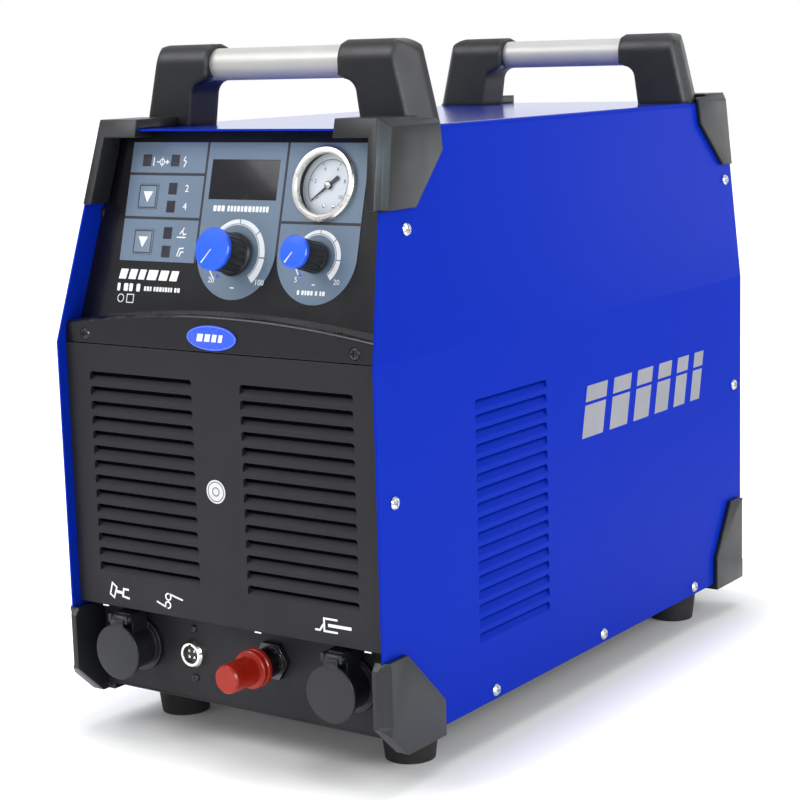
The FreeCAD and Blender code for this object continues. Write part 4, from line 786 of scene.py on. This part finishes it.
def knob_pointers():
    """White line in the groove of each knob cap. It turns with the knob."""
    lean = math.radians(-38.0)
    for body, (u, v), radius, face in (("current_dial", CURRENT_AT, 15.2, 28.0),
                                       ("post_flow_dial", FLOW_AT, 11.5, 29.0)):
        flat = Flat(PANEL, face - 0.4, face + 0.12)
        ends = [(u + math.sin(lean) * r, v - math.cos(lean) * r) for r in (0.6, radius * 0.84)]
        flat.line(ends, 1.05)
        flat.done(body + "_pointer", body, WHITE_INK)


# ---- gauge ---------------------------------------------------------------------------------------
def gauge_print():
    """Scale, numbers and two small screws on the dial."""
    u, v = GAUGE_AT
    flat = Flat(PANEL, -5.06, -4.9)
    flat.arc(u, v, lambda s: 18.6, lambda s: 18.2, GAUGE_START, GAUGE_START - GAUGE_SWEEP)
    for i in range(41):
        angle = math.radians(GAUGE_START - GAUGE_SWEEP * i / 40)
        long = i % 8 == 0
        tick = [(u + r * math.cos(angle), v + r * math.sin(angle)) for r in (18.4, 15.6 if long else 17.0)]
        flat.line(tick, 0.5 if long else 0.28)
    for i, text in enumerate(("0", "2", "4", "6", "8", "10")):
        angle = math.radians(GAUGE_START - GAUGE_SWEEP * i / 5)
        flat.numeral(text, u + 12.9 * math.cos(angle), v + 12.9 * math.sin(angle), 2.8)
    flat.done("gauge_print", "housing", GREY_INK)
    for i, (du, dv) in enumerate(((-3.0, -14.1), (4.7, -14.5))):
        bm = lathe([(0, -0.2), (1.3, -0.2), (1.3, 0.35), (0.9, 0.7), (0.35, 0.75), (0.35, 0.4), (0, 0.4)], 20)
        bm.transform(PANEL @ Matrix.Translation((u + du, v + dv, -4.9)))
        piece("gauge_dial_screw_%d" % (i + 1), bm, "housing", SCREW)
    bm = lathe([(0, 0.8), (2.2, 0.8), (2.5, 1.1), (2.5, 1.7), (1.7, 2.2), (0, 2.35)], 28)
    bm.transform(PANEL @ Matrix.Translation((u, v, -4.0)))
    piece("gauge_hub_cap", bm, "gauge_hand", CHROME)


# ---- front of the case ---------------------------------------------------------------------------
def badge_trim():
    """Plain bars on the oval badge, inside a faint paler rim."""
    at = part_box("badge_plate")
    centre = (at[0] + at[1]) / 2
    place = surface_frame((centre.x, at[0].y, centre.z), (1, 0, 0), (0, 0, 1), (0, -1, 0))
    flat = Flat(place, -0.1, 0.25)
    slanted_bars(flat, -13.4, -2.7, 5.4, (5.2, 4.6, 4.0, 3.4), 1.9, 1.6)
    flat.done("badge_trim", "housing", print_ink("badge_white", srgb(214, 222, 244)))
    flat = Flat(place, -0.1, 0.25)
    flat.strip([(21.9 * math.cos(a), 8.4 * math.sin(a)) for a in angles(72)],
               [(21.3 * math.cos(a), 7.8 * math.sin(a)) for a in angles(72)], True)
    flat.done("badge_rim", "housing", print_ink("badge_pale", srgb(96, 124, 232)))


def front_print():
    """Three plain pictograms, for the clamp, the pilot lead and the torch, and a plain round label."""
    flat = Flat(FRONT, *BARE)
    flat.line([(-108.6, 119.2), (-104.4, 116.2), (-107.4, 108.0), (-111.2, 110.4)], 1.3, True)
    flat.line([(-104.6, 113.0), (-99.0, 112.6)], 2.2)
    flat.line([(-92.4, 115.6), (-97.4, 115.8), (-98.6, 110.0), (-92.0, 109.0)], 1.5)
    flat.ring(-53.6, 115.6, 3.0, 1.8)
    flat.line([(-53.0, 118.0), (-39.6, 114.8)], 1.3)
    flat.ring(-54.2, 109.4, 3.0, 1.8)
    flat.line([(-65.0, 110.8), (-54.6, 107.0)], 1.3)
    flat.line([(100.6, 119.6), (89.0, 119.6), (89.0, 110.6), (100.6, 110.6)], 1.5)
    flat.line([(92.4, 115.1), (112.4, 115.1)], 2.3)
    flat.line([(88.4, 115.4), (85.2, 110.8), (81.0, 110.8)], 1.4)
    flat.done("front_pictograms", "housing", WHITE_INK)

    label = Flat(FRONT, -0.1, 0.2)
    label.disc(*LABEL_AT, 8.6)
    label.done("round_label", "housing", print_ink("label_card", srgb(208, 208, 210)))
    rim = Flat(FRONT, 0.15, 0.26)
    rim.ring(*LABEL_AT, 7.4, 6.7)
    rim.ring(*LABEL_AT, 3.4, 2.6)
    rim.done("round_label_print", "housing", GREY_INK)


def lip_glints():
    """Small chrome dashes at the lower edge of the louvred panel, shaped as clips. They stand in for painted
    glints of light on the panel's lip.
    """
    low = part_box("louvre_panel")[0].z
    for i, x in enumerate((-116.0, 30.0, 126.0)):
        flat = Flat(surface_frame((0, LOUVRE_FACE, low), (1, 0, 0), (0, 0, 1), (0, -1, 0)), -2.6, 0.5)
        flat.block(x, -0.5, 6.0, 1.0, 0.4)
        flat.done("lip_glint_%d" % (i + 1), "housing", CHROME)


def connector_screws():
    """Two dark screws above and below the control socket."""
    low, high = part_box("control_socket")
    centre = (low + high) / 2 / MM
    for i, dz in enumerate((-19.0, 19.0)):
        bm = lathe([(0, -0.5), (3.0, -0.5), (3.0, 0.7), (2.3, 1.7), (1.0, 2.1), (0.9, 1.1), (0, 1.1)], 28)
        bm.transform(CONNECTORS @ Matrix.Translation((centre.x, centre.z + dz, 0)))
        piece("connector_screw_%d" % (i + 1), bm, "housing", WIRE)


def socket_trims():
    """Bright turned ring inside the mouth of each output socket."""
    for side, label in ((1, "right"), (-1, "left")):
        low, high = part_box(label + "_socket_flap")
        x = (low.x + high.x) / 2 / MM
        z = low.z / MM + 21.0
        flat = Flat(FRONT, 4.9, 5.5)
        flat.ring(x, z, 9.6, 6.6)
        flat.done("socket_trim_" + label, "housing", BRASS)


def control_socket_insert():
    """Dark insulator with four chrome contacts inside the control socket's shell."""
    low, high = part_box("control_socket")
    centre = (low + high) / 2
    place = surface_frame((centre.x, low.y, centre.z), (1, 0, 0), (0, 0, 1), (0, -1, 0))
    bm = lathe([(0, -3.0), (5.6, -3.0), (6.0, -3.4), (6.8, -3.6), (6.8, -4.6), (0, -4.6)], 32)
    bm.transform(place)
    piece("control_socket_insert", bm, "housing", BLACK)
    for i in range(4):
        turn = math.radians(45 + 90 * i)
        bm = lathe([(0, -1.2), (0.5, -1.3), (1.15, -1.9), (1.15, -3.6), (0, -3.6)], 16)
        bm.transform(place @ Matrix.Translation((3.4 * math.cos(turn), 3.4 * math.sin(turn), 0)))
        piece("control_socket_contact_%d" % (i + 1), bm, "housing", CHROME)


# ---- sides ---------------------------------------------------------------------------------------
def side_graphics():
    """Row of leaning metallic bars on each side."""
    widths = (33.0, 29.0, 26.0, 23.0, 20.0, 17.0)
    for name, place, start in (("side_graphic_right", RIGHT, -16.0), ("side_graphic_left", LEFT, -206.0)):
        flat = Flat(place, *BARE)
        for low, height, shift in ((203.5, 25.5, 0.0), (231.5, 12.5, 28.0 * 0.23)):
            slanted_bars(flat, start + shift, low, height, widths, 11.0, height * 0.23)
        flat.done(name, "housing", FOIL)


# ---- inside --------------------------------------------------------------------------------------
def pleated_shade_screen(name, corner, along, up, length, height):
    """Pleated near-black screen that paints shade inside the case: a thin closed sheet folded into shallow
    waves along its length.
    """
    bm = bmesh.new()
    out = along.cross(up)
    rows = []
    pleats = int(length / 2.4)
    for i in range(pleats + 1):
        wave = 0.9 if i % 2 else 0.0
        row = []
        for depth in (wave, wave - 0.8):
            for rise in (0.0, height):
                at = corner + (along * (length * i / pleats) + up * rise + out * depth) * MM
                row.append(bm.verts.new(at))
        rows.append(row)
    for a, b in zip(rows, rows[1:]):
        for j, k in ((0, 1), (1, 3), (3, 2), (2, 0)):
            bm.faces.new((a[j], a[k], b[k], b[j]))
    for end in (rows[0], rows[-1]):
        bm.faces.new((end[0], end[1], end[3], end[2]))
    bmesh.ops.recalc_face_normals(bm, faces=bm.faces)
    piece(name, bm, "housing", SHADE_FOAM)


def shade_screens():
    """Dark pleated screens behind the front and side louvres. They paint the shade seen through the louvres.
    """
    x, z = Vector((1, 0, 0)), Vector((0, 0, 1))
    y = Vector((0, 1, 0))
    low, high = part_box("louvre_panel")
    behind = LOUVRE_FACE + 0.0095
    height = (high.z - low.z) / MM - 26.0
    for name, start in (("front_shade_screen_right", 0.018), ("front_shade_screen_left", -0.124)):
        pleated_shade_screen(name, Vector((start, behind, low.z + 0.012)), x, z, 106.0, height)
    for name, side in (("side_shade_screen_right", 1), ("side_shade_screen_left", -1)):
        corner = Vector((side * (SIDE_FACE - 0.0105), FRONT_EDGE + 0.112, COVER_LOW.z + 0.042))
        pleated_shade_screen(name, corner, y, z, 118.0, 192.0)


panel_print()
bezel_print()
key_marks()
knob_pointers()
gauge_print()
badge_trim()
front_print()
lip_glints()
connector_screws()
socket_trims()
control_socket_insert()
side_graphics()
shade_screens()


# ---- floor, light and camera ---------------------------------------------------------------------
def floor():
    """Plain pale studio floor."""
    bm = bmesh.new()
    bmesh.ops.create_grid(bm, x_segments=8, y_segments=8, size=9.0)
    mesh = bpy.data.meshes.new("studio_floor")
    bm.to_mesh(mesh)
    bm.free()
    made = bpy.data.objects.new("studio_floor", mesh)
    bpy.context.scene.collection.objects.link(made)
    mesh.materials.append(pale_floor())


def world():
    """White surroundings, brightest behind on the left; the camera sees them at full white."""
    made = bpy.data.worlds.new("studio")
    bpy.context.scene.world = made
    n = Nodes(made)
    seen = n.tree.nodes["Background"]
    seen.inputs["Color"].default_value = (1, 1, 1, 1)
    seen.inputs["Strength"].default_value = 1.0
    lit = n.new("Background", Color=(0.96, 0.98, 1.0, 1))
    aim = n.axes(n.coords["Generated"])
    n.link(n.ranged(n.math("SUBTRACT", aim["Y"], aim["X"]), 0.60, 1.0, 0.4, 1.2), lit.inputs["Strength"])
    mix = n.new("MixShader")
    n.link(n.new("LightPath").outputs["Is Camera Ray"], mix.inputs[0])
    n.link(lit.outputs[0], mix.inputs[1])
    n.link(seen.outputs[0], mix.inputs[2])
    n.link(mix.outputs[0], n.tree.nodes["World Output"].inputs["Surface"])


def softbox(name, at, target, size, power, sheen=True, wash=True, colour=(1, 1, 1)):
    """Area light. It can be left out of reflections (sheen) or of matt shading (wash)."""
    light = bpy.data.lights.new(name, "AREA")
    light.shape = "RECTANGLE"
    light.size, light.size_y = size
    light.energy = power
    light.color = colour
    made = bpy.data.objects.new(name, light)
    bpy.context.scene.collection.objects.link(made)
    made.location = at
    made.rotation_euler = (Vector(target) - Vector(at)).to_track_quat("-Z", "Y").to_euler()
    made.visible_camera = False
    made.visible_diffuse = wash
    made.visible_glossy = sheen


def lights():
    """Studio softboxes: place, aim, size and power. Several add only a reflection on one face."""
    softbox("key", (-1.5, -1.9, 2.3), (0, 0, 0.2), (1.6, 1.6), 42)
    softbox("side", (2.6, 0.4, 1.5), (0, 0, 0.25), (1.8, 1.4), 30)
    softbox("rim", (1.9, -1.65, 0.85), (0, -0.2, 0.25), (0.45, 1.2), 36, wash=False)
    softbox("front", (0.35, -2.3, 1.45), (0, -0.25, 0.1), (0.35, 0.35), 8, wash=False)
    softbox("corner", (1.74, -0.91, 1.20), (0.13, -0.25, 0.43), (0.45, 0.45), 6.5, wash=False,
            colour=(0.50, 0.86, 1.0))
    softbox("rear_side", (0.93, 1.85, 0.50), (0.13, 0.21, 0.43), (0.42, 0.5), 2.0, wash=False)
    softbox("top", (0.0, 0.2, 2.8), (0, 0, 0.3), (2.0, 2.0), 30)
    softbox("fill", (-1.3, -2.3, 0.7), (0, -0.2, 0.2), (1.2, 0.8), 9, sheen=False)


CAMERA_AT = (0.8947, -1.3356, 0.5035)
CAMERA_LOOK = (-0.56423, 0.80738, -0.17258)
CAMERA_ROLL = math.radians(-1.646)
CAMERA_LENS = 89.23                      # on a sensor 36 mm wide


def camera():
    """Standing front-right of the unit, just above it."""
    data = bpy.data.cameras.new("camera")
    data.lens = CAMERA_LENS
    data.sensor_width = 36.0
    data.clip_start = 0.05
    made = bpy.data.objects.new("camera", data)
    bpy.context.scene.collection.objects.link(made)
    forward = Vector(CAMERA_LOOK).normalized()
    level = forward.cross(Vector((0, 0, 1))).normalized()
    up = level.cross(forward)
    right = level * math.cos(CAMERA_ROLL) + up * math.sin(CAMERA_ROLL)
    upright = up * math.cos(CAMERA_ROLL) - level * math.sin(CAMERA_ROLL)
    pose = Matrix((right, upright, -forward)).transposed().to_4x4()
    pose.translation = Vector(CAMERA_AT)
    made.matrix_world = pose
    bpy.context.scene.camera = made


floor()
world()
lights()
camera()
bpy.context.scene.view_settings.view_transform = "Standard"
